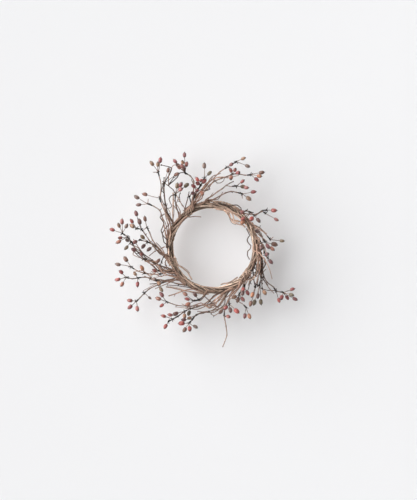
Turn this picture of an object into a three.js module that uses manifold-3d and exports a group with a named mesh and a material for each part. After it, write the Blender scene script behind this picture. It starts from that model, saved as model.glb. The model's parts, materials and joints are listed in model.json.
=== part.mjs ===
// Berry wreath: a ring of wound vines carrying berry sprigs, bare twigs and curly tendrils.
// Millimetres, +Z up. The wreath hangs in the XZ plane with its face toward -Y.
// The origin is the point on the inside of the ring, at twelve o'clock, that rests on a wall hook.

import * as THREE from "three";
import { mergeVertices } from "three/addons/utils/BufferGeometryUtils.js";
import Module from "manifold-3d";

// Ring of vines
const RING_RADIUS = 77;
const VINE_DIAMETER = 3.6;
const VINE_CLEARANCE = 0.5;
const VINE_LAPS = 2;
const VINE_TWISTS_PER_LAP = 2.5;
const LAP_END_GAP = 5;

// Feet of the sprigs on the ring, and the vines bound over them
const FOOT_LENGTH = 14;
const SEAT_CLEARANCE = 0.15;
const BINDING_CLEARANCE = 0.6;
const BINDING_DIAMETER = 1.8;
const BINDING_TURNS = 3;

// Stems, twigs, tendrils and loose vines
const STEM_DIAMETER = 2.2;
const STEM_TIP_DIAMETER = 1.5;
const TWIG_DIAMETER = 1.4;
const TWIG_TIP_DIAMETER = 1;
const TENDRIL_DIAMETER = 1.8;
const LOOSE_VINE_DIAMETER = 2.4;

// The reach at which a sprig stands twice as far off the ring's plane as it would beside the ring
const SPLAY_REACH = 100;

// Berries, each on its own stalk
const BERRY_LENGTH = 10;
const BERRY_DIAMETER = 6.8;
const STALK_DIAMETER = 1.1;

// The berry's outline from its stalk to its tip, as shares of its half width and of its length
const BERRY_SHOULDER = [0.94, 0.32];
const BERRY_CHEEK = [0.86, 0.72];
const STALK_SUNK = 0.02;

// Facets
const VINE_SIDES = 5;
const VINE_STEPS_PER_LAP = 30;
const BINDING_SIDES = 5;
const BINDING_STEPS_PER_TURN = 30;
const STEM_SIDES = 4;
const STEM_STEP = 16;
const TWIG_STEP = 6;
const FOOT_STATIONS = 14;
const BERRY_SIDES = 5;

// The ring's section: six vine laps round one core vine
const FULL_TURN = 360;
const LAPS_ROUND_CORE = 6;
const windingRadius = (VINE_DIAMETER + VINE_CLEARANCE) / (2 * Math.sin(Math.PI / LAPS_ROUND_CORE));
const coreDiameter = 2 * (windingRadius - VINE_DIAMETER / 2 - VINE_CLEARANCE);
const sectionRadius = windingRadius + VINE_DIAMETER / 2;
const ringOutside = RING_RADIUS + sectionRadius;
const ringInside = RING_RADIUS - sectionRadius;

const BARK_ROUGHNESS = 0.9;
const TWIG_ROUGHNESS = 0.85;
const BERRY_ROUGHNESS = 0.45;
const COLOURS = {
  vine: 0x7d5b42,
  binding: 0x5c3a31,
  twig: 0x7a6a5c,
  tendril: 0x9a7b5c,
  red: 0x9a3032,
  crimson: 0x7d2130,
  plum: 0x5b3540,
  olive: 0x5f5538,
  amber: 0xb0703f,
  brown: 0x62402f,
};

const wasm = await Module();
wasm.setup();

// A point of the wreath: clock in degrees clockwise from twelve, reach outward from an edge of the
// ring and lift toward the viewer from the ring's middle plane, which splays as the reach grows.
function place(clock, reach, lift, edge = ringOutside) {
  const angle = THREE.MathUtils.degToRad(clock);
  const radius = edge + reach;
  const splay = 1 + Math.max(0, radius - ringOutside) / SPLAY_REACH;
  return new THREE.Vector3(radius * Math.sin(angle), -lift * splay, radius * Math.cos(angle));
}

// How far the ring's centre line bends away from a straight foot, at a distance from its middle.
function bowAt(distance) {
  return distance ** 2 / (2 * RING_RADIUS);
}

// How far the middle of a straight foot lies from the ring's centre line when the foot rests on the
// wound vines below it. Seat is its place round the ring's section: 0 on the outside, 90 on the face
// and 180 on the inside, where the vines' straight steps stand closer.
function seatRadius(clock, seat, diameter) {
  const resting = (VINE_DIAMETER + diameter) / 2 + SEAT_CLEARANCE;
  const spacing = FULL_TURN / LAPS_ROUND_CORE;
  const outward = Math.cos(THREE.MathUtils.degToRad(seat));
  let radius = 0;
  for (let station = 0; station <= FOOT_STATIONS; station++) {
    const distance = FOOT_LENGTH * (station / FOOT_STATIONS - 1 / 2);
    const vineTurn = VINE_TWISTS_PER_LAP * (clock + THREE.MathUtils.radToDeg(distance / RING_RADIUS));
    const fromVine = THREE.MathUtils.euclideanModulo(seat - vineTurn + spacing / 2, spacing) - spacing / 2;
    const aside = THREE.MathUtils.degToRad(fromVine);
    const sideways = windingRadius * Math.sin(aside);
    const above = windingRadius * Math.cos(aside) + Math.sqrt(resting ** 2 - sideways ** 2);
    radius = Math.max(radius, above - bowAt(distance) * outward);
  }
  const halfStep = (Math.PI * RING_RADIUS) / VINE_STEPS_PER_LAP;
  return radius + bowAt(halfStep) * Math.max(0, -outward);
}

// The line of a round piece that lies along the ring, with its middle at the clock.
function footLine(clock, seat, diameter, heading) {
  const angle = THREE.MathUtils.degToRad(clock);
  const turn = THREE.MathUtils.degToRad(seat);
  const rise = seatRadius(clock, seat, diameter);
  const radial = new THREE.Vector3(Math.sin(angle), 0, Math.cos(angle));
  const along = new THREE.Vector3(Math.cos(angle), 0, -Math.sin(angle));
  const middle = radial.clone().multiplyScalar(RING_RADIUS + rise * Math.cos(turn));
  middle.y = -rise * Math.sin(turn);
  const half = (heading * FOOT_LENGTH) / 2;
  const tail = middle.clone().addScaledVector(along, -half);
  const head = middle.clone().addScaledVector(along, half);
  return [tail, middle, head];
}

// Points on one smooth curve through the given ones, with a point at each of them and none much
// further apart than step.
function smoothLine(points, step) {
  const curve = new THREE.CatmullRomCurve3(points, false, "centripetal");
  const spans = points.length - 1;
  const line = [points[0]];
  for (let span = 0; span < spans; span++) {
    const parts = Math.max(1, Math.round(points[span].distanceTo(points[span + 1]) / step));
    for (let part = 1; part <= parts; part++) {
      line.push(curve.getPoint((span + part / parts) / spans));
    }
  }
  return line;
}

// A closed tube along a line of points, whose diameter runs evenly from one end to the other.
function tube(line, sides, startDiameter, endDiameter) {
  const last = line.length - 1;
  const positions = [];
  let across = new THREE.Vector3(0, 1, 0);
  line.forEach((centre, i) => {
    const ahead = line[Math.min(i + 1, last)].clone().sub(line[Math.max(i - 1, 0)]).normalize();
    across = across.clone().addScaledVector(ahead, -across.dot(ahead)).normalize();
    const beside = ahead.clone().cross(across);
    const radius = THREE.MathUtils.lerp(startDiameter, endDiameter, i / last) / 2;
    for (let side = 0; side < sides; side++) {
      const turn = (2 * Math.PI * side) / sides;
      const point = centre
        .clone()
        .addScaledVector(across, radius * Math.cos(turn))
        .addScaledVector(beside, radius * Math.sin(turn));
      positions.push(point.x, point.y, point.z);
    }
  });
  const index = [];
  for (let i = 0; i < last; i++) {
    for (let side = 0; side < sides; side++) {
      const a = i * sides + side;
      const b = i * sides + ((side + 1) % sides);
      index.push(a, b, a + sides, b, b + sides, a + sides);
    }
  }
  const end = last * sides;
  for (let side = 1; side < sides - 1; side++) {
    index.push(0, side + 1, side);
    index.push(end, end + side, end + side + 1);
  }
  const geometry = new THREE.BufferGeometry();
  geometry.setAttribute("position", new THREE.Float32BufferAttribute(positions, 3));
  geometry.setIndex(index);
  return geometry;
}

// One berry and its stalk, turned about the line from the stem's knot to the berry's middle.
function berryOnStalk(knot, middle) {
  const heading = middle.clone().sub(knot);
  const reach = Math.max(heading.length(), BERRY_LENGTH / 2);
  const base = reach - BERRY_LENGTH / 2;
  const stalk = STALK_DIAMETER / 2;
  const belly = BERRY_DIAMETER / 2;
  const profile = [
    [0, 0],
    [stalk, 0],
    [stalk, base + STALK_SUNK * BERRY_LENGTH],
    ...[BERRY_SHOULDER, BERRY_CHEEK].map(([across, along]) => [across * belly, base + along * BERRY_LENGTH]),
    [0, base + BERRY_LENGTH],
  ].map(([across, along]) => new THREE.Vector2(across, along));
  const geometry = new THREE.LatheGeometry(profile, BERRY_SIDES);
  const up = new THREE.Vector3(0, 1, 0);
  geometry.applyQuaternion(new THREE.Quaternion().setFromUnitVectors(up, heading.normalize()));
  geometry.translate(knot.x, knot.y, knot.z);
  return geometry;
}

function solidOf(geometry) {
  geometry.deleteAttribute("normal");
  geometry.deleteAttribute("uv");
  const merged = mergeVertices(geometry);
  const mesh = new wasm.Mesh({
    numProp: 3,
    vertProperties: merged.attributes.position.array,
    triVerts: new Uint32Array(merged.index.array),
  });
  return new wasm.Manifold(mesh);
}

function joined(geometries) {
  const solid = geometries.map(solidOf).reduce((whole, piece) => whole.add(piece));
  const mesh = solid.getMesh();
  const geometry = new THREE.BufferGeometry();
  geometry.setAttribute("position", new THREE.BufferAttribute(mesh.vertProperties, 3));
  geometry.setIndex(new THREE.BufferAttribute(mesh.triVerts, 1));
  return geometry;
}

const wreath = new THREE.Group();
wreath.position.z = -ringInside;

function addPiece(name, geometry, colour, roughness) {
  const material = new THREE.MeshStandardMaterial({ color: COLOURS[colour], roughness, metalness: 0 });
  const mesh = new THREE.Mesh(geometry, material);
  mesh.name = name;
  wreath.add(mesh);
}

// The least gap of a wound tube to itself, between points further apart along it than its girth.
function reportSelfGap(name, points, diameter) {
  const girth = Math.PI * diameter;
  const along = [0];
  for (let i = 1; i < points.length; i++) {
    along.push(along[i - 1] + points[i].distanceTo(points[i - 1]));
  }
  let least = Infinity;
  for (let i = 0; i < points.length; i++) {
    for (let j = i + 1; j < points.length; j++) {
      if (along[j] - along[i] > girth) {
        least = Math.min(least, points[i].distanceTo(points[j]) - diameter);
      }
    }
  }
  console.log(name + " least gap to itself " + least.toFixed(2) + " mm");
}

// Points of a line that winds round the ring's section while it travels along the ring, at a radius
// that depends on the clock and on the turn round the section.
function windingLine({ startClock, travel, steps, startTurn, turnsPerLap, radiusAt }) {
  const line = [];
  for (let step = 0; step <= steps; step++) {
    const moved = (travel * step) / steps;
    const turn = startTurn + moved * turnsPerLap;
    const angle = THREE.MathUtils.degToRad(turn);
    const radius = radiusAt(startClock + moved, turn);
    line.push(place(startClock + moved, radius * Math.cos(angle), radius * Math.sin(angle), RING_RADIUS));
  }
  return line;
}

// Ring: one core vine, and three vines that each go round it in two laps
const endGapClock = THREE.MathUtils.radToDeg(LAP_END_GAP / RING_RADIUS);

function buildRing() {
  const core = windingLine({
    startClock: 0,
    travel: FULL_TURN - endGapClock,
    steps: VINE_STEPS_PER_LAP,
    startTurn: 0,
    turnsPerLap: 0,
    radiusAt: () => 0,
  });
  addPiece("core_vine", tube(core, VINE_SIDES, coreDiameter, coreDiameter), "vine", BARK_ROUGHNESS);
  const vineCount = LAPS_ROUND_CORE / VINE_LAPS;
  for (let vine = 0; vine < vineCount; vine++) {
    const startClock = (FULL_TURN * vine) / vineCount;
    const line = windingLine({
      startClock,
      travel: VINE_LAPS * FULL_TURN - endGapClock,
      steps: VINE_LAPS * VINE_STEPS_PER_LAP,
      startTurn: (FULL_TURN * vine) / LAPS_ROUND_CORE + startClock * VINE_TWISTS_PER_LAP,
      turnsPerLap: VINE_TWISTS_PER_LAP,
      radiusAt: () => windingRadius,
    });
    const name = "ring_vine_" + (vine + 1);
    addPiece(name, tube(line, VINE_SIDES, VINE_DIAMETER, VINE_DIAMETER), "vine", BARK_ROUGHNESS);
    reportSelfGap(name, line, VINE_DIAMETER);
  }
}

// Thin vines wound round the ring over the feet of the sprigs: name, first and last clock
const BINDINGS = [
  ["binding_vine_upper_left", 320, 331],
  ["binding_vine_lower_right", 124, 135],
  ["binding_vine_left", 245, 256],
];

// How far a binding lies from the ring's centre line where it passes over the vines, or over the feet
// laid on them.
function overFeet(clock, turn) {
  const feet = [
    ...SPRIGS.map(({ foot: [footClock, seat] }) => [footClock, seat, STEM_DIAMETER]),
    ...RUNNERS.map(([, , diameter, , [footClock, seat]]) => [footClock, seat, diameter]),
  ];
  let radius = sectionRadius + BINDING_CLEARANCE + BINDING_DIAMETER / 2;
  for (const [footClock, seat, diameter] of feet) {
    const distance = THREE.MathUtils.degToRad(clock - footClock) * RING_RADIUS;
    if (Math.abs(distance) > FOOT_LENGTH / 2 + BINDING_DIAMETER) continue;
    const outward = Math.cos(THREE.MathUtils.degToRad(seat));
    const middle = seatRadius(footClock, seat, diameter) + bowAt(distance) * outward;
    const resting = (diameter + BINDING_DIAMETER) / 2 + BINDING_CLEARANCE;
    const fromFoot = THREE.MathUtils.euclideanModulo(turn - seat + FULL_TURN / 2, FULL_TURN) - FULL_TURN / 2;
    const aside = THREE.MathUtils.degToRad(fromFoot);
    const sideways = middle * Math.sin(aside);
    if (Math.abs(sideways) < resting && Math.cos(aside) > 0) {
      radius = Math.max(radius, middle * Math.cos(aside) + Math.sqrt(resting ** 2 - sideways ** 2));
    }
  }
  return radius / Math.cos(Math.PI / BINDING_STEPS_PER_TURN);
}

function buildBindings() {
  for (const [name, startClock, endClock] of BINDINGS) {
    const travel = endClock - startClock;
    const line = windingLine({
      startClock,
      travel,
      steps: BINDING_TURNS * BINDING_STEPS_PER_TURN,
      startTurn: 0,
      turnsPerLap: (BINDING_TURNS * FULL_TURN) / travel,
      radiusAt: overFeet,
    });
    const winding = tube(line, BINDING_SIDES, BINDING_DIAMETER, BINDING_DIAMETER);
    addPiece(name, winding, "binding", BARK_ROUGHNESS);
    reportSelfGap(name, line, BINDING_DIAMETER);
  }
}

// Plain pieces laid on the ring at a foot and then free: name, colour, diameters, foot as clock, seat
// and heading, the edge of the ring that the route starts from, and its clock, reach and lift.
const RUNNERS = [
  ["loose_vine_upper_right", "vine", LOOSE_VINE_DIAMETER, LOOSE_VINE_DIAMETER, [10, 180, 1], ringInside,
    [[22, -4, 1], [29, -8.2, 2], [38, -12.7, 2], [47, -9.2, 2], [53, -4.2, 1], [58, -2.2, 0]]],
  ["loose_vine_lower_left", "vine", LOOSE_VINE_DIAMETER, LOOSE_VINE_DIAMETER, [251, 150, -1], ringInside,
    [[242, -2.2, 4], [234, -6.2, 3], [226, -7.7, 1], [219, -5.2, 0], [213, -2.2, 0]]],
  ["loose_vine_lower_right", "vine", LOOSE_VINE_DIAMETER, LOOSE_VINE_DIAMETER, [146, 180, 1], ringInside,
    [[158, -2.2, 0], [163, -3.6, 0], [168, -3, 0]]],
  ["loose_vine_upper_right_over", "vine", LOOSE_VINE_DIAMETER, LOOSE_VINE_DIAMETER, [22, 150, 1], ringInside,
    [[32, -3, 6], [35.5, -7, 6.2], [39, -9.5, 6], [42.5, -8.5, 5.5], [45.5, -4.5, 5]]],
  ["loose_vine_upper_right_under", "vine", LOOSE_VINE_DIAMETER, LOOSE_VINE_DIAMETER, [16, 205, 1], ringInside,
    [[26, -5, -3], [31, -10, -3.5], [37, -9, -3.5], [43, -5, -4], [49, -3, -4]]],
  ["loose_vine_upper_left", "vine", LOOSE_VINE_DIAMETER, LOOSE_VINE_DIAMETER, [295, 42, 1], ringOutside,
    [[306, 6, 4], [312, 14, 5], [317, 22, 5.5], [321, 30, 5], [324, 39, 4]]],
  ["loose_vine_bottom", "vine", LOOSE_VINE_DIAMETER, LOOSE_VINE_DIAMETER, [157, 38, 1], ringOutside,
    [[168, 9, 4.5], [172, 17, 4], [176, 24, 3.5], [180, 21, 3], [183, 26, 2.5], [187, 22, 2]]],
  ["loose_vine_right_outer", "vine", LOOSE_VINE_DIAMETER, LOOSE_VINE_DIAMETER, [98, 38, 1], ringOutside,
    [[110, 3, 5.5], [117, 7, 6.5], [124, 9, 7.5], [129, 8, 8], [133, 5, 8.5]]],
  ["loose_vine_left_outer", "vine", LOOSE_VINE_DIAMETER, LOOSE_VINE_DIAMETER, [190, 5, 1], ringOutside,
    [[203, 4, -1], [212, 9, -2], [220, 15, -3], [226, 21, -3], [230, 27, -3]]],
  ["tendril_top_loop", "tendril", TENDRIL_DIAMETER, TENDRIL_DIAMETER, [18, 60, 1], ringOutside,
    [[26, 2, 8], [30, 5, 9], [35, 4, 10], [39, 0, 10], [43.5, -2, 7]]],
  ["tendril_inner_right", "tendril", TENDRIL_DIAMETER, TENDRIL_DIAMETER, [66, 180, 1], ringInside,
    [[74, -5.2, 2], [78, -8.2, 3], [82, -7.2, 4], [87.5, -2.7, 5], [92, -4.2, 5], [96, -8.2, 4],
      [103, -7.2, 2],
      [108, -1.7, 0]]],
  ["tendril_left_upper", "tendril", TENDRIL_DIAMETER, TENDRIL_DIAMETER, [274, 42, 1], ringOutside,
    [[283, 8, 9], [288, 14.5, 13], [296.5, 15, 14], [300, 26, 15], [305, 22, 18]]],
  ["tendril_left_lower", "tendril", TENDRIL_DIAMETER, TENDRIL_DIAMETER, [266, 80, 1], ringOutside,
    [[276, 5, 11], [281, 8, 16], [286, 11, 19], [296, 7, 19]]],
  ["twig_inner_upper_left", "twig", STEM_DIAMETER, TWIG_DIAMETER, [308, 118, 1], ringOutside,
    [[318, -9, 13], [324, -15, 13], [331, -19, 11], [339, -24, 8]]],
  ["twig_lower_right_bare", "twig", STEM_DIAMETER, TWIG_TIP_DIAMETER, [88.5, 120, 1], ringOutside,
    [[96, 0, 12], [101, 8, 14], [106, 17, 14], [112, 27, 13], [118, 37, 12]]],
  ["twig_lower_left_cut", "twig", STEM_DIAMETER, STEM_DIAMETER, [200.5, 40, 1], ringOutside,
    [[210, 4, 5], [216, 15, 4], [219, 24, 3], [222.5, 35, 3]]],
];

function buildRunners() {
  for (const [name, colour, startDiameter, endDiameter, foot, edge, route] of RUNNERS) {
    const [clock, seat, heading] = foot;
    const free = route.map((point) => place(...point, edge));
    const line = smoothLine(footLine(clock, seat, startDiameter, heading).concat(free), TWIG_STEP);
    addPiece(name, tube(line, STEM_SIDES, startDiameter, endDiameter), colour, TWIG_ROUGHNESS);
  }
}

// Berry sprigs: the foot as clock and seat, the stem's knots as clock, reach and lift,
// side twigs that leave a numbered knot, and berries that leave a numbered knot.
// The end of each side twig is one more knot, numbered after the stem's own.
const SPRIGS = [
  { name: "sprig_upper_left_tall", colour: "amber", foot: [282, 75],
    stem: [[293, 0, 8], [299, 4, 9], [303, 14, 10], [307, 25, 10], [310, 36, 10], [313, 47, 9], [318, 56, 8],
      [321, 65, 8], [324, 84, 8]],
    twigs: [[8, [321.5, 89, 10]]],
    berries: [[8, 324, 103, 9], [8, 326.5, 95, 13], [8, 329, 100, 6], [5, 308, 72, 6]] },
  { name: "sprig_upper_left_second", colour: "brown", foot: [286, 15],
    stem: [[297, 2, 2], [302, 9, 2], [306, 19, 2], [311, 29, 2], [317, 45, 1], [323, 63, 0]],
    twigs: [[5, [324.5, 52, 2], [325.5, 43, 3]]],
    berries: [[5, 330, 78, 2], [5, 333.5, 64, 4]] },
  { name: "sprig_upper_left_olive", colour: "olive", foot: [306, 60],
    stem: [[315.5, 6, 8], [318.5, 17, 9], [322, 27, 10], [325, 34, 10]],
    twigs: [[3, [321, 36, 13], [318, 34, 15], [316.5, 28, 16], [315.5, 22, 16], [313, 21, 17], [310, 26, 18]],
      [3, [324.5, 18, 9], [323.5, 9, 8]]],
    berries: [[3, 330, 45, 12], [3, 333, 43, 17], [3, 331, 35.5, 18], [3, 337, 38, 11]] },
  { name: "sprig_top_crown", colour: "crimson", foot: [327.5, -5],
    stem: [[337, 7, -3], [341, 25, -6], [344, 42, -6], [342.5, 53, -5], [339.6, 61, -4]],
    twigs: [],
    berries: [[4, 336.4, 87.6, -6], [4, 337, 79, -9], [4, 339.4, 73.5, 2], [4, 342.5, 75, -6],
      [4, 340, 70.5, -4], [4, 343, 92, -2]] },
  { name: "sprig_top_red_bunch", colour: "red", foot: [327.5, 90],
    stem: [[336, 6, 13], [341, 16, 15], [346, 25, 16], [349, 31, 16], [353, 42, 15]],
    twigs: [],
    berries: [[4, 350, 38, 23], [3, 347, 42, 17], [2, 342.5, 32, 21], [2, 344.5, 22, 24],
      [2, 348.5, 16.5, 20],
      [1, 339.5, 20, 21], [4, 354, 64, 13], [4, 357.4, 50, 12]] },
  { name: "sprig_top_long_upper", colour: "plum", foot: [327.5, 22],
    stem: [[339, 7, 1], [347, 20, -1], [354, 33, -3], [359, 39, -3], [5.3, 54, -1], [10, 64, 1],
      [15.3, 77, 3]],
    twigs: [],
    berries: [[5, 12.5, 70, 6], [6, 18.8, 86, 4], [6, 23, 76, 5]] },
  { name: "sprig_top_long_lower", colour: "brown", foot: [327.5, 56],
    stem: [[341, 5, 7], [349, 15, 6], [356, 28, 5], [2, 37, 5], [7, 42, 6], [11, 47, 7], [15, 53, 8],
      [20, 57, 9],
      [24, 59, 9], [27.4, 64, 9]],
    twigs: [[2, [357, 22, 8], [354, 20, 10], [350.5, 21, 11], [348, 24, 11]],
      [3, [4, 33, 9], [7, 34, 11], [9, 38, 12], [9.5, 44, 12]]],
    berries: [[6, 15.8, 61, 13], [6, 18.5, 58, 16], [6, 13, 59, 10], [6, 14.5, 46, 14], [9, 33, 77, 10],
      [9, 33, 69, 14], [9, 32.6, 62, 8]] },
  { name: "sprig_top_right_fork", colour: "red", foot: [342, 60],
    stem: [[352, 4, 7], [359, 10, 8], [5, 18, 9], [9, 24, 9], [12, 31, 9], [14.5, 36, 9], [17.4, 41.5, 9]],
    twigs: [[4, [16, 31, 10], [21, 35, 11]]],
    berries: [[7, 24, 46.5, 13], [7, 26.5, 39, 8], [7, 29, 40, 13]] },
  { name: "sprig_top_right_low", colour: "plum", foot: [350, 14],
    stem: [[1, 4, 3], [8, 11, 4], [13, 18, 5], [18, 23, 6], [23, 25, 6], [28.4, 27, 6]],
    twigs: [[5, [31, 20, 5]]],
    berries: [[5, 36, 40.5, 8], [5, 36, 26, 5]] },
  { name: "sprig_right_upper", colour: "red", foot: [34.5, 45],
    stem: [[42, 6, 8], [47, 10, 9], [52.4, 11, 9], [53, 19, 9], [53, 27, 9], [55, 34, 10]],
    twigs: [[4, [57, 29, 11]]],
    berries: [[0, 39.5, -1, 16], [1, 46, -8.5, 17], [1, 49.5, -12.5, 12], [2, 53.5, 3, 16], [2, 59, 12, 10],
      [5, 58.6, 45, 11], [6, 66, 41, 12]] },
  { name: "sprig_right_single", colour: "brown", foot: [54.5, 70],
    stem: [[62, 2, 7], [67, 8, 7], [73, 13, 7], [78, 17, 7], [82, 21, 7]],
    twigs: [[4, [80, 27, 8]]],
    berries: [[4, 84.4, 41.5, 8]] },
  { name: "sprig_right_pair", colour: "brown", foot: [62, 15],
    stem: [[71, 4, 2], [77.5, 7, 1], [83.6, 11, 1]],
    twigs: [],
    berries: [[2, 88.7, 15.6, 5], [2, 87, 28, -1], [2, 91, 24, 3], [0, 69.5, 1, 9]] },
  { name: "sprig_right_plum", colour: "plum", foot: [68.5, 88],
    stem: [[78, 1, 10], [85, 4, 10], [91, 8, 10], [98, 12, 9], [101, 18, 8]],
    twigs: [],
    berries: [[1, 90, 4, 15], [3, 97, 15, 15], [4, 103.6, 24, 8]] },
  { name: "sprig_lower_right_olive", colour: "olive", foot: [84.5, 30],
    stem: [[97, 5, 3], [106, 10, 2], [114, 15, 1], [122, 20, 0], [129, 25, 0]],
    twigs: [],
    berries: [[4, 131, 40, 2], [4, 137, 36, 5], [4, 143, 41, -3], [4, 138.5, 48, -1]] },
  { name: "sprig_lower_right_amber", colour: "amber", foot: [90.5, 72],
    stem: [[103, 4, 9], [113, 9, 11], [124, 14, 13], [133, 21, 13]],
    twigs: [],
    berries: [[3, 140, 27, 14], [3, 146, 38, 12]] },
  { name: "sprig_lower_right_long", colour: "crimson", foot: [96.5, -15],
    stem: [[106, 6, -4], [113, 14, -6], [119, 22, -8], [122.5, 33, -8], [123, 47, -7], [124.3, 55, -6],
      [122.5, 68, -4]],
    twigs: [[5, [128, 42, -9], [131, 29, -10]]],
    berries: [[6, 117.7, 79, -2], [6, 126, 70, 1], [5, 128.5, 70, -8], [6, 124, 79, -7], [6, 121, 82, 1],
      [6, 122, 92, -5]] },
  { name: "sprig_bottom_right_crimson", colour: "crimson", foot: [130, 62],
    stem: [[139.5, 4, 8], [141.5, 8, 9]],
    twigs: [],
    berries: [[1, 144, 10, 15], [1, 146.5, 15, 10], [1, 142.5, 19, 8]] },
  { name: "sprig_bottom_right_amber", colour: "amber", foot: [130, 32],
    stem: [[142, 5, 3], [147, 10, 3], [151, 14, 3]],
    twigs: [],
    berries: [[2, 156.7, 14, 3], [2, 154.5, 21, 3], [2, 150, 24, 2]] },
  { name: "sprig_bottom_red", colour: "red", foot: [131, 92],
    stem: [[144, 1, 11], [152, 4, 12], [159, 8, 12], [163, 15, 12], [164, 23, 12]],
    twigs: [[2, [155.5, 22, 12], [152, 32, 11], [151, 40, 10]]],
    berries: [[4, 168, 27, 14], [4, 164.5, 33, 12], [4, 159.5, 38, 13], [5, 155, 52, 9], [5, 152, 56, 11]] },
  { name: "sprig_bottom_tail", colour: "brown", foot: [148, 12],
    stem: [[156, 5, 2], [163, 14, 1], [168, 26, 0], [170.5, 41, 0], [170.5, 61, 0], [171, 77, 1],
      [174.4, 96.6, 2]],
    twigs: [],
    berries: [[3, 167.5, 44, 6]] },
  { name: "sprig_bottom_left_long", colour: "plum", foot: [158.5, 60],
    stem: [[170, 7, 8], [180, 19, 9], [188, 21, 9], [195, 25, 9], [203, 31, 9], [212, 39, 9],
      [220.6, 44.5, 9]],
    twigs: [],
    berries: [[6, 227.5, 42, 10], [6, 227, 51, 7], [6, 221.5, 55, 12]] },
  { name: "sprig_bottom_left_red", colour: "red", foot: [154.5, -8],
    stem: [[166, 9, -3], [173, 21, -5], [181, 31, -6], [189, 35, -6], [194, 43, -6], [196, 52, -5],
      [197.5, 60, -4]],
    twigs: [],
    berries: [[6, 202.5, 65, -3], [6, 192.5, 63, -1], [6, 196, 69, 2], [6, 199, 74, -5]] },
  { name: "sprig_bottom_left_amber", colour: "amber", foot: [168.5, 22],
    stem: [[181, 8, 1], [188, 19, -1], [195, 28, -2], [200, 34, -2], [204, 43, -1], [207, 56, 0],
      [209.4, 65, 0],
      [211, 72, 0]],
    twigs: [],
    berries: [[3, 200, 43, -5], [4, 202.5, 50, 6], [4, 209.5, 53, 4], [5, 212.5, 60, 4], [6, 215.8, 69, 1],
      [7, 211, 82.5, 1]] },
  { name: "sprig_bottom_left_short", colour: "red", foot: [182.5, 80],
    stem: [[191, 5, 10], [195, 14, 11], [199.5, 18, 12]],
    twigs: [],
    berries: [[2, 206.5, 20, 16], [2, 204, 28, 15], [2, 211, 14, 12], [1, 201, 7, 13]] },
  { name: "sprig_left_low_plain", colour: "brown", foot: [220.5, -2],
    stem: [[230, 8, -2], [234, 22, -4], [236, 37, -5], [237, 54, -5], [236.4, 65.5, -5], [235.4, 77, -4],
      [235, 86, -4]],
    twigs: [],
    berries: [[6, 237.5, 95, -6], [6, 234.4, 101, -3], [6, 231, 92, -1], [4, 231.5, 63, -8],
      [2, 231, 37, -2]] },
  { name: "sprig_left_low_plum", colour: "plum", foot: [221.5, 62],
    stem: [[230, 8, 9], [235, 23, 9], [240, 33, 9], [244, 41, 9], [246.7, 51, 9], [248, 62, 8],
      [248.9, 72, 8],
      [251, 80.5, 8]],
    twigs: [],
    berries: [[7, 255, 87, 10], [7, 251.5, 97, 6], [7, 248, 92, 11], [5, 251.5, 64, 12], [5, 244, 67, 9],
      [3, 241.5, 36, 15], [2, 236.5, 33, 13]] },
  { name: "sprig_left_brown", colour: "brown", foot: [232.5, 18],
    stem: [[241, 8, 1], [243.5, 24, -1], [246.5, 37, -3], [249.5, 49, -4], [253, 60, -5], [257, 69.5, -5]],
    twigs: [],
    berries: [[5, 260, 91, -4], [5, 262.5, 76, -7], [3, 254, 50, -2], [1, 248.5, 30, 2]] },
  { name: "sprig_left_red_long", colour: "red", foot: [234.5, 66],
    stem: [[243, 7, 10], [248, 20, 12], [254, 25, 13], [258, 32, 13], [261, 43, 13], [266, 50, 13],
      [270, 57, 12],
      [274, 63, 11], [277, 71, 10], [279, 81, 9]],
    twigs: [[6, [265, 60, 15], [262, 49, 17]]],
    berries: [[9, 280, 100, 8], [9, 286, 86, 8], [9, 283.3, 89, 14], [9, 284, 76, 13], [8, 273.5, 86, 10],
      [8, 276, 83, 16], [7, 270, 72, 10], [7, 275, 70, 18], [4, 265, 45, 19], [2, 256.5, 18, 11]] },
  { name: "sprig_left_short_plum", colour: "plum", foot: [252, -2],
    stem: [[263, 6, 0], [268, 14, -1], [272.5, 23, -2], [275, 36, -2], [276, 50, -2]],
    twigs: [],
    berries: [[3, 271, 42, 1], [2, 268.5, 32, 0], [4, 274, 58, -3], [3, 278.5, 45, 1]] },
  { name: "sprig_left_single", colour: "brown", foot: [252.5, 30],
    stem: [[262, 5, 5], [270, 15, 7], [277, 26, 8], [283.5, 34, 8], [287, 41, 8]],
    twigs: [[4, [284, 46, 9]]],
    berries: [[4, 293, 49, 9]] },
  { name: "sprig_left_plum_pair", colour: "plum", foot: [253, 68],
    stem: [[262, 6, 12], [269, 20, 15], [275, 29, 16], [281, 40, 16], [284.5, 49, 15]],
    twigs: [[4, [284, 58, 14]]],
    berries: [[4, 289.5, 56, 15], [4, 294, 67, 12], [5, 288, 69, 17]] },
  { name: "sprig_left_grey", colour: "brown", foot: [274.5, 0],
    stem: [[285, 5, -2], [293, 12, -4], [300, 22, -5], [305, 34, -6], [305, 47, -6], [304, 59, -5]],
    twigs: [[5, [307, 63, -4]]],
    berries: [[5, 303.6, 82, -4], [5, 300, 72, -7]] },
];

function buildSprig({ name, colour, foot: [clock, seat], stem, twigs, berries }) {
  const knots = stem.map((knot) => place(...knot));
  const line = smoothLine(footLine(clock, seat, STEM_DIAMETER, 1).concat(knots), STEM_STEP);
  const pieces = [tube(line, STEM_SIDES, STEM_DIAMETER, STEM_TIP_DIAMETER)];
  for (const [knot, ...route] of twigs) {
    const points = [knots[knot], ...route.map((point) => place(...point))];
    pieces.push(tube(smoothLine(points, TWIG_STEP), STEM_SIDES, TWIG_DIAMETER, TWIG_TIP_DIAMETER));
    knots.push(points[points.length - 1]);
  }
  for (const [knot, ...middle] of berries) {
    pieces.push(berryOnStalk(knots[knot], place(...middle)));
  }
  addPiece(name, joined(pieces), colour, BERRY_ROUGHNESS);
}

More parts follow.
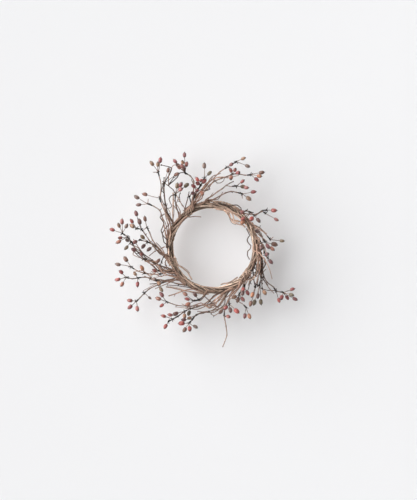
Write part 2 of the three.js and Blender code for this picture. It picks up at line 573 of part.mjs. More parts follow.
buildRing();
buildBindings();
buildRunners();
SPRIGS.forEach(buildSprig);

export default wreath;
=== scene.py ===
"""Berry wreath: bark, berries, wall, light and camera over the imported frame.

Lengths in the tables are millimetres, measured from the ring's centre as the frame measures them.
Meshes are made in metres.
"""

import json
import math
import random
from collections import namedtuple

import bpy
from bpy.props import FloatProperty, FloatVectorProperty, IntProperty, PointerProperty
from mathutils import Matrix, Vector, noise


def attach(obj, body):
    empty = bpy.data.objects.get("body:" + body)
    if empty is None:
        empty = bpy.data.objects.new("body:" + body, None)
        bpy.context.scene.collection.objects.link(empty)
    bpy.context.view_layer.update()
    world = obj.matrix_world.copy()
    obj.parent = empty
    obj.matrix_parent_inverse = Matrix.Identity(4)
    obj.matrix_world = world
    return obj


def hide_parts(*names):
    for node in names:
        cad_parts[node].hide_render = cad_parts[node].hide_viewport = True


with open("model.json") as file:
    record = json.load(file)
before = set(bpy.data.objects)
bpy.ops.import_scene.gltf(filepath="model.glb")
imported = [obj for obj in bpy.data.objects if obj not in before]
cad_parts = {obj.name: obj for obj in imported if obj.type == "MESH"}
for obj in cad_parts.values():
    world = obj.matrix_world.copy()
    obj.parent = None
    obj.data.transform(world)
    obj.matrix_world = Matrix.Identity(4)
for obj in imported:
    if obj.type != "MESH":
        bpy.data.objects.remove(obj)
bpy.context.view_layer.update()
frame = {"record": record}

bl_info = {
    "name": "Berry Wreath",
    "version": (1, 0, 0),
    "blender": (4, 5, 0),
    "location": "View3D > Sidebar > Wreath",
    "description": "Builds the bark, berries, wall, light and camera of a berry wreath",
    "category": "Object",
}

MM = 0.001
FULL_TURN = 360.0

# Ring of vines
RING_RADIUS = 77.0
CORE_RADIUS = 1.7
VINE_DIAMETER = 3.6
VINE_COUNT = 3
VINE_LAPS = 2
VINE_TWISTS_PER_LAP = 2.5
LAPS_ROUND_CORE = VINE_COUNT * VINE_LAPS
LAP_END_GAP = 5.0
LAP_END_CLOCK = math.degrees(LAP_END_GAP / RING_RADIUS)
WINDING_RADIUS = 4.1
SECTION_RADIUS = WINDING_RADIUS + VINE_DIAMETER / 2
RING_OUTSIDE = RING_RADIUS + SECTION_RADIUS
RING_INSIDE = RING_RADIUS - SECTION_RADIUS
VINE_STEPS_PER_LAP = 30

# Depth below the vines' outside at which the painted shade in the gaps between them is darkest
PAINTED_SHADE_DEPTH = 2.0

# Feet of the sprigs on the ring
FOOT_LENGTH = 14.0
FOOT_STATIONS = 14
SEAT_CLEARANCE = 0.15

# Stems and side twigs, as diameters at the start and the tip. A moving sprig has a thinner foot, and its
# strands stay closer to its stem. A side twig with enough knots curls and has the bark of a tendril.
STEM_DIAMETER = 2.2
STEM_TIP_DIAMETER = 1.5
TWIG_DIAMETERS = (1.4, 1.0)
LIFTED_FOOT = 0.82
LIFTED_SWING = 2.0
CURLY_KNOTS = 4
KNOT_SWELL = 0.3
KNOT_REACH = 1.6

# Distance out from the ring in which a piece's lift doubles
SPLAY_REACH = 100.0

# How evenly each kind of piece bends at its knots: 1 for a smooth curve, 0 for straight runs
EASES = {"vine": 1.0, "twig": 0.7, "tendril": 0.4}

# Kinds of strand: points round it, its age at both ends, depth of its bark, range of its tint, and the
# distance between its points
Strand = namedtuple("Strand", "sides ages relief tints step", defaults=((0.0, 1.0), 1.4))
CORE = Strand(8, (0.0, 0.3), 0.12, step=3.0)
VINE = Strand(10, (0.0, 0.35), 0.18, step=1.7)
TOP_SHOOT = VINE._replace(tints=(0.2, 0.6), step=1.2)
THIN = Strand(8, (0.0, 0.4), 0.2, (0.2, 0.9), 1.5)
BINDING = Strand(10, (0.0, 0.4), 0.22, (0.3, 0.7))
RUNNER = Strand(10, (0.0, 0.7), 0.16, (0.4, 1.0))
COMPANION = Strand(8, (0.0, 0.6), 0.18)
WEAVER = Strand(8, (0.0, 0.8), 0.18, (0.3, 1.0), 1.5)
SHOOT = Strand(8, (0.0, 0.8), 0.18, (0.1, 0.8))
STEM = Strand(9, (0.0, 1.0), 0.16, (0.35, 1.0), 1.3)
PALE_STEM = STEM._replace(ages=(0.35, 0.8), tints=(0.85, 1.0))
TWIG = Strand(8, (0.45, 0.9), 0.16, (0.4, 1.0), 1.2)
STUB = Strand(6, (0.6, 1.0), 0.12)
TAPE = Strand(9, (1.0, 1.0), 0.3)
STALK = Strand(6, (0.75, 1.0), 0.15, step=1.5)
TOOTH = Strand(4, (1.0, 1.0), 0.1)

# Bumps round a strand and round a berry: pitch round and along of the broad ones, the same of the fine
# ones, and the depth of the fine ones against the broad. A strand's ends bulge by a share of its radius.
BARK_BUMPS = (1.1, 0.09, 2.6, 0.45, 0.45)
BERRY_BUMPS = (1.4, 1.2, 4.0, 0.8, 0.5)
BERRY_RELIEF = 0.06
BUMP_SEEDS = (0, 100)
END_BULGES = (0.3, 0.35)

# How a wound line strays: pitch of its way out and in, and pitch and share of its drift round. Each way
# of straying has a plane of the noise to itself.
STRAY_PITCH = 0.06
DRIFT_PITCH = 0.035
DRIFT_SHARE = 0.25
STRAY_SEEDS = (0, 90)
STRAY_PLANES = {"out": 0.0, "swell": 5.0, "drift": 9.0}

# Wound vines: bark, length in which the shoots twist round once, and the shoots that make up the vine,
# as thickness and distance from its line in shares of its diameter, phase, and range of tints
VINES = (
    ("shaded", 17.0, ((0.56, 0.25, 0, (0.3, 0.7)), (0.56, 0.25, 180, (0.4, 0.9)))),
    ("reddish", 80.0, ((0.92, 0.02, 0, (0.45, 0.7)), (0.3, 0.42, 180, (0.0, 0.2)))),
    ("pale", 60.0, ((0.88, 0.04, 0, (0.6, 0.9)), (0.34, 0.4, 180, (0.0, 0.2)))),
)
SHOOT_SWELL = 0.2
SWELL_PITCH = 0.03

# Strand of two twisted shoots that lies along the outside of the ring's top
TOP_STRAND = {
    "start": 334.0, "travel": 64.0, "turn": 15, "turns": -0.2, "wander": 0.7, "seed": 3.0,
    "pitch": 11.0, "thickness": 1.6, "apart": 0.8,
}

# Thin strands laid slantwise round the ring over the vines
THIN_STRAND = {
    "turns": (-3.5, -2.0, 3.5, 5.0, 6.5), "shift": (-20, 20), "gap": 20, "sunk": 0.3, "wander": 0.8,
    "thickness": (1.1, 1.7), "taper": 0.7, "barks": ("shaded", "reddish"),
}

# Thin vines wound round the ring over the feet of the sprigs: name, first and last clock. Each is made of
# two strands: material, first turn and share of the diameter.
BINDINGS = (
    ("binding_vine_upper_left", 320, 331),
    ("binding_vine_lower_right", 124, 135),
    ("binding_vine_left", 245, 256),
)
BINDING_STRANDS = ((0, 0, 0.8), (1, 165, 0.65))
BINDING_CLEARANCE = 0.6
BINDING_DIAMETER = 1.8
BINDING_TURNS = 3
STEPS_PER_BINDING_TURN = 48
BINDING_STEPS = BINDING_TURNS * STEPS_PER_BINDING_TURN
BINDING_LEAN = (2.5, 5.0)
BINDING_SUNK = 1.1
BINDING_STRAY = {"pitch": 0.05, "clock": 2.5, "out": 0.4}

# Thinner strand that twists closely along a loose vine
ALONGSIDE = {
    "ends": (0.7, 0.95), "turning": (0.07, 0.12), "near": 0.3, "away": 0.8, "away_at": 2 * FOOT_LENGTH,
    "thickness": (1.1, 1.5), "taper": 0.65,
}

# Thin shoots that weave along a stem: where a sprig's entry gives none, how many and how far aside
STRANDS = (1, 2.2)
WEAVE = {
    "ends": (0.6, 0.97), "begins": (0.0, 0.5), "least_knots": 3, "wide_at": 1.6 * FOOT_LENGTH, "near": 1.2,
    "aside": (0.35, 1.0), "deep": (-0.6, 0.6), "apart": (13.0, 27.0), "crossings": (-1, -1, 1),
    "thickness": (1.6, 2.4), "taper": 0.6, "youngest_tip": 0.4,
}

# Thin bare shoots: thickness, the share of it left at the tip, and the knob's radius as a share of it
BARE_THICKNESS = (1.7, 2.4)
BARE_TAPER = 0.65
BARE_KNOT = 0.7

# Broken stubs: how many at a knot, their length, how far they may point to the wall, and their radius at
# shares of the length
STUB_COUNTS = {"twig": (0, 1, 1, 2), "stem": (0, 0, 1), "tape": (3, 4)}
STUB_REACH = (3.0, 5.4)
STUB_BACK = 0.3
STUB_SHAPE = {0.0: 0.85, 0.4: 0.7, 0.8: 0.55, 1.0: 0.6}

# Dark tape that binds stalks to a stem, as the number of the stem's points that it covers and its
# thickness, and the lumpy knob at its end
TAPE_STEPS = (4, 5, 6)
TAPE_THICKNESS = (2.6, 3.5)
TAPE_TAPER = 0.75
KNOB_RADIUS = (1.6, 2.1)
KNOB_STATIONS = (-0.85, -0.5, 0.0, 0.5, 0.85)
KNOB_SIDES = 8
KNOB_LUMPS = (0.82, 1.15)

# Stalks: how far one bows and how far it stands in the berry, as shares of length, and how much thicker
# it is at the stem
STALK_BOW = 0.06
STALK_SUNK = 0.08
STALK_TAPER = 1.3
STALK_LEAST_STEPS = 3

# Berry outline from stalk to tip, as shares of its half width and of its length, the places of the stalk's
# cup and of the crown along it, and how far berries bend and differ
BERRY_PROFILE = (
    (0.16, 0.02), (0.46, 0.03), (0.77, 0.12), (0.94, 0.27), (1.0, 0.44), (0.98, 0.6),
    (0.87, 0.76), (0.66, 0.89), (0.38, 0.965), (0.2, 0.985), (0.13, 1.02), (0.08, 1.03),
)
BERRY_CUP = 0.06
BERRY_TIP = 1.02
BERRY_BEND = (0.01, 0.05)
BERRY_SIZES = (-1, 0.8)
BERRY_GIRTHS = (0.92, 1.06)

# Dry teeth at a berry's tip: how many, how unevenly set, and each one's path as ahead, aside and radius
CROWN_TEETH = (4, 5)
CROWN_UNEVEN = (-0.2, 0.2)
CROWN_TOOTH = ((-0.3, 0.25, 0.3), (0.25, 0.5, 0.24), (0.6, 1.0, 0.1))

# Skin and blush of each berry tone, as sRGB
TONES = {
    "scarlet": ((0.7, 0.3, 0.27), (0.8, 0.48, 0.44)),
    "red": ((0.63, 0.3, 0.28), (0.75, 0.47, 0.44)),
    "crimson": ((0.56, 0.27, 0.27), (0.69, 0.43, 0.42)),
    "rose": ((0.63, 0.38, 0.36), (0.74, 0.53, 0.5)),
    "salmon": ((0.66, 0.42, 0.34), (0.74, 0.54, 0.46)),
    "orange": ((0.65, 0.42, 0.31), (0.73, 0.54, 0.42)),
    "amber": ((0.64, 0.47, 0.36), (0.73, 0.59, 0.48)),
    "tan": ((0.63, 0.5, 0.41), (0.72, 0.6, 0.51)),
    "brown": ((0.53, 0.37, 0.31), (0.64, 0.48, 0.42)),
    "umber": ((0.44, 0.31, 0.26), (0.56, 0.43, 0.37)),
    "russet": ((0.57, 0.32, 0.29), (0.69, 0.47, 0.43)),
    "maroon": ((0.52, 0.26, 0.26), (0.64, 0.41, 0.4)),
    "plum": ((0.48, 0.29, 0.29), (0.61, 0.43, 0.42)),
    "sloe": ((0.4, 0.28, 0.26), (0.51, 0.39, 0.36)),
    "olive": ((0.49, 0.41, 0.32), (0.6, 0.53, 0.43)),
    "moss": ((0.41, 0.36, 0.28), (0.52, 0.47, 0.38)),
    "grey": ((0.48, 0.39, 0.35), (0.59, 0.5, 0.46)),
}

# Noise in bark and berry skin: stretch round and along the strand, scale and detail
GRAINS = {
    "fibre": ((1.3, 1.3, 0.05), 2.2, 5.0),
    "crack": ((1.8, 1.8, 0.42), 3.0, 4.0),
    "patch": ((0.2, 0.2, 0.03), 1.0, 2.0),
    "mottle": ((0.9, 0.9, 0.16), 1.5, 4.0),
    "speck": ((3.0, 3.0, 0.9), 4.0, 2.0),
}
GRAIN_SHIFT = (61.0, 37.0, 83.0)
GRAIN_ROUGHNESS = 0.6

# What each effect in bark and berry skin makes of its value: range read and range given
RANGES = {
    "streak": (0.36, 0.64, 0.0, 1.0),
    "stem tip": (0.35, 1.0, 0.0, 0.85),
    "crack": (0.34, 0.58, 0.42, 1.12),
    "patch": (0.3, 0.7, 0.5, 1.42),
    "strand": (0.0, 1.0, 0.44, 1.5),
    # Painted shade: bark deep between the ring's vines is darkened, and bark elsewhere is painted a little
    # lighter
    "crevice": (0.0, 1.0, 1.2, 0.25),
    "bark roughness": (0.3, 0.7, 0.95, 0.68),
    "blush": (0.42, 0.68, 0.0, 1.0),
    "speck": (0.6, 0.75, 0.0, 0.35),
    "berry": (0.0, 1.0, 0.78, 1.15),
    "cup": (0.02, 0.26, 0.6, 0.0),
    "berry tip": (0.76, 0.97, 0.0, 0.5),
    "nub": (0.955, 0.985, 0.0, 1.0),
    "skin roughness": (0.3, 0.7, 0.34, 0.58),
}

# Shaders of bark, berry skin and wall paint, the strength and depth of bumps, and the shade of cracks
BARK_SHADER = {"Specular IOR Level": 0.25}
SKIN_SHADER = {"Coat Weight": 0.35, "Coat Roughness": 0.22, "Sheen Weight": 0.1}
PAINT_SHADER = {"Roughness": 0.95, "Specular IOR Level": 0.1}
PAINT_GRAIN = {"Scale": 3.0, "Detail": 3.0}
PAINT_WORN = 0.985
BARK_BUMP = 0.6
SKIN_BUMP = 0.25
BUMP_DEPTH = 0.4 * MM
CRACK_SHADE = 0.45
KNOT_SHADE = 0.6

# Stage in metres: the point that the camera looks at, each light's place from it, and the wall's half width
STAGE_MIDDLE = Vector((-7.9, 0.0, -75.4)) * MM
KEY_PLACE = Vector((-1.5, -1.1, 0.5))
SOFT_PLACES = {"back": Vector((0.4, 1.8, 0.8)), "fill": Vector((1.8, -0.3, 0.3))}
SOFT_SIZE = 2.0
WALL_HALF = 3.0
SENSOR_WIDTH = 36.0

# Plain pieces laid on the ring at a foot and then free: diameters at the foot and the tip, foot as
# clock, seat and heading, the ring's edge that the route is measured from, and the route itself
Runner = namedtuple("Runner", "slot name diameters foot edge route")
LOOSE = (2.4, 2.4)
CURLY = (1.8, 1.8)
RUNNERS = (
    Runner("vine", "loose_vine_upper_right", LOOSE, (10, 180, 1), RING_INSIDE,
        ((22, -4, 1), (29, -8.2, 2), (38, -12.7, 2), (47, -9.2, 2), (53, -4.2, 1), (58, -2.2, 0))),
    Runner("vine", "loose_vine_lower_left", LOOSE, (251, 150, -1), RING_INSIDE,
        ((242, -2.2, 4), (234, -6.2, 3), (226, -7.7, 1), (219, -5.2, 0), (213, -2.2, 0))),
    Runner("vine", "loose_vine_lower_right", LOOSE, (146, 180, 1), RING_INSIDE,
        ((158, -2.2, 0), (163, -3.6, 0), (168, -3, 0))),
    Runner("vine", "loose_vine_upper_right_over", LOOSE, (22, 150, 1), RING_INSIDE,
        ((32, -3, 6), (35.5, -7, 6.2), (39, -9.5, 6), (42.5, -8.5, 5.5), (45.5, -4.5, 5))),
    Runner("vine", "loose_vine_upper_right_under", LOOSE, (16, 205, 1), RING_INSIDE,
        ((26, -5, -3), (31, -10, -3.5), (37, -9, -3.5), (43, -5, -4), (49, -3, -4))),
    Runner("vine", "loose_vine_upper_left", LOOSE, (295, 42, 1), RING_OUTSIDE,
        ((306, 6, 4), (312, 14, 5), (317, 22, 5.5), (321, 30, 5), (324, 39, 4))),
    Runner("vine", "loose_vine_bottom", LOOSE, (157, 38, 1), RING_OUTSIDE,
        ((168, 9, 4.5), (172, 17, 4), (176, 24, 3.5), (180, 21, 3), (183, 26, 2.5), (187, 22, 2))),
    Runner("vine", "loose_vine_right_outer", LOOSE, (98, 38, 1), RING_OUTSIDE,
        ((110, 3, 5.5), (117, 7, 6.5), (124, 9, 7.5), (129, 8, 8), (133, 5, 8.5))),
    Runner("vine", "loose_vine_left_outer", LOOSE, (190, 5, 1), RING_OUTSIDE,
        ((203, 4, -1), (212, 9, -2), (220, 15, -3), (226, 21, -3), (230, 27, -3))),
    Runner("tendril", "tendril_top_loop", CURLY, (18, 60, 1), RING_OUTSIDE,
        ((26, 2, 8), (30, 5, 9), (35, 4, 10), (39, 0, 10), (43.5, -2, 7))),
    Runner("tendril", "tendril_inner_right", CURLY, (66, 180, 1), RING_INSIDE,
        ((74, -5.2, 2), (78, -8.2, 3), (82, -7.2, 4), (87.5, -2.7, 5), (92, -4.2, 5), (96, -8.2, 4),
            (103, -7.2, 2), (108, -1.7, 0))),
    Runner("tendril", "tendril_left_upper", CURLY, (274, 42, 1), RING_OUTSIDE,
        ((283, 8, 9), (288, 14.5, 13), (296.5, 15, 14), (300, 26, 15), (305, 22, 18))),
    Runner("tendril", "tendril_left_lower", CURLY, (266, 80, 1), RING_OUTSIDE,
        ((276, 5, 11), (281, 8, 16), (286, 11, 19), (296, 7, 19))),
    Runner("twig", "twig_inner_upper_left", (2.2, 1.4), (308, 118, 1), RING_OUTSIDE,
        ((318, -9, 13), (324, -15, 13), (331, -19, 11), (339, -24, 8))),
    Runner("twig", "twig_lower_right_bare", (2.2, 1.0), (88.5, 120, 1), RING_OUTSIDE,
        ((96, 0, 12), (101, 8, 14), (106, 17, 14), (112, 27, 13), (118, 37, 12))),
    Runner("twig", "twig_lower_left_cut", (2.2, 2.2), (200.5, 40, 1), RING_OUTSIDE,
        ((210, 4, 5), (216, 15, 4), (219, 24, 3), (222.5, 35, 3))),
)

# Thin bare shoots that cross between the ring and the sprigs: points as clock, reach and lift
SHOOTS = {
    "thin_shoots_right": (
        ((103, -4, 4), (110, -5, 7), (121, -3, 7), (129, 4, 8), (137, 10, 8)),
        ((105, -4, 4), (112, -2, 5), (122, 2, 5), (128, 10, 5), (132.5, 20, 4)),
        ((99, -4, 3), (106.5, 1.5, 4), (115, 3.5, 6), (120, 12, 7), (125.5, 16, 7), (131.5, 24, 6)),
        ((128, -4, 4), (124, 0, 5), (120, 5, 7), (117, 8, 8), (114, 12.5, 8)),
        ((132, -3, 4), (128, 7, 6), (124, 10, 8), (122, 12.5, 9)),
        ((92, -4, 3), (98.5, 3, 2), (107, 8, 2), (111, 13, 1), (114, 13, 0), (121, 17, -2), (126, 27, -3)),
        ((96, -4, 4), (102.5, 3, 6), (111.5, 10.5, 5), (118, 13, 4), (124.5, 14, 5), (130, 19, 6)),
        ((104, 12, 3), (107, 16, 5), (115, 14, 7), (118.5, 11, 7), (116.5, 1.5, 5), (112, -4, 4)),
        ((110, 12, -2), (116.5, 17.5, 0), (119, 22, 1), (125.5, 25, 1), (129.5, 32.5, 0)),
        ((106, -4, 3), (113, 2, 2), (119, 6, 1), (126, 6.5, 1), (133, 9, 0), (140, 16, -1)),
        ((118, -4, 5), (123, 4, 7), (127, 8.5, 7), (130, 15, 7), (130.5, 23, 6)),
        ((136, -4, 4), (132, 3, 6), (127, 5, 7), (121, 9.5, 7), (116, 17, 6), (112, 20, 5)),
        ((100, -4, 4), (106, 6, 4), (112, 7, 3), (117, 10, 2), (122, 20, 1), (127, 22, 0)),
    ),
    "thin_shoots_bottom": (
        ((198, -4, 4), (192, -1, 6), (190, 5, 6), (183.5, 13, 7), (178.5, 19, 8), (174, 27, 8)),
        ((164, -4, 4), (171.5, -1, 6), (179.5, 4, 5), (183.5, 14, 5), (187.5, 23, 5)),
        ((165, 19, 0), (170, 26, 3), (177, 29, 2), (183.5, 32, 0), (189, 37, -2), (194, 41, -4)),
        ((178, 16, 9), (184.5, 19, 8), (192.5, 23, 7), (200, 29, 7)),
        ((197, -4, 4), (204, -4, 6), (215, 0, 5), (222.5, 7, 4), (231, 15, 3)),
        ((196, -4, 3), (203.5, -2, 4), (214, 2.5, 2), (223, 11, 1), (230.5, 23, 0)),
        ((167, 22, 2), (171.5, 29, 5), (175, 35, 6), (179, 39, 6), (181.5, 36, 7), (179.5, 31, 8)),
    ),
    "thin_shoots_left": (
        ((262, -4, 2), (257, 1, 3), (253, 7, 4), (249, 7, 4), (243, 4.5, 4), (239, -3, 3)),
        ((231, -3, 3), (236.5, 5, 4), (244.5, 7.5, 5), (248.5, 13, 6), (252, 20, 6)),
        ((263, -3, 2), (260, 6, 3), (255, 12.5, 3), (249.5, 18.5, 2)),
        ((271, 4, 2), (268, 13, 3), (266.5, 21, 4), (262.5, 33, 6)),
        ((239, -3, 5), (246, 6, 8), (252, 19, 10), (258.5, 28, 11), (264, 40, 11), (270, 50, 11),
            (276, 60, 9)),
        ((237, -3, 5), (243, 9, 8), (247, 23, 10), (253, 29, 11), (258.5, 39, 12), (263, 50, 12),
            (269, 62, 11)),
        ((229, -3, 2), (233, 13, 2), (234.5, 23, 3), (237.5, 37, 4), (240, 48, 4)),
    ),
    "thin_shoots_upper_left": (
        ((295, -4, 4), (302, 4, 6), (307, 22, 5), (311.5, 35.5, 5), (314.5, 49, 4), (321.5, 61, 3),
            (325, 70, 2)),
        ((295, -4, 2), (302.5, 2.5, 4), (307, 17.5, 6), (312.5, 33, 7), (318, 48.5, 6), (322, 64, 5)),
        ((308, -4, 4), (314.5, 3.5, 5), (319, 18, 4), (326.5, 27, 6), (329, 31, 8)),
        ((318, -4, 4), (324, 4, 6), (324.5, 18, 7), (327.5, 29.5, 8)),
        ((320, -4, 3), (326.5, 6, 4), (333.5, 17.5, 4), (337, 26.5, 5)),
        ((327, -4, 3), (333.5, 4.5, 3), (335.5, 18, 2), (340, 23, 2)),
        ((325, 34, 10), (325.5, 43, 9), (324.5, 53.5, 8), (330.5, 61, 6), (333, 66, 5)),
        ((324.5, 53.5, 8), (327.5, 65.5, 6), (330, 75, 4)),
        ((323, 63, 0), (329, 70, -2), (332.5, 79, -4), (328, 93, -4)),
        ((324, 55, 0), (333, 59, 0), (336, 64, -1), (339.5, 62, -2)),
        ((329, 70, -2), (332.5, 79, -4), (334.5, 82, -4), (336.5, 80, -4)),
    ),
}

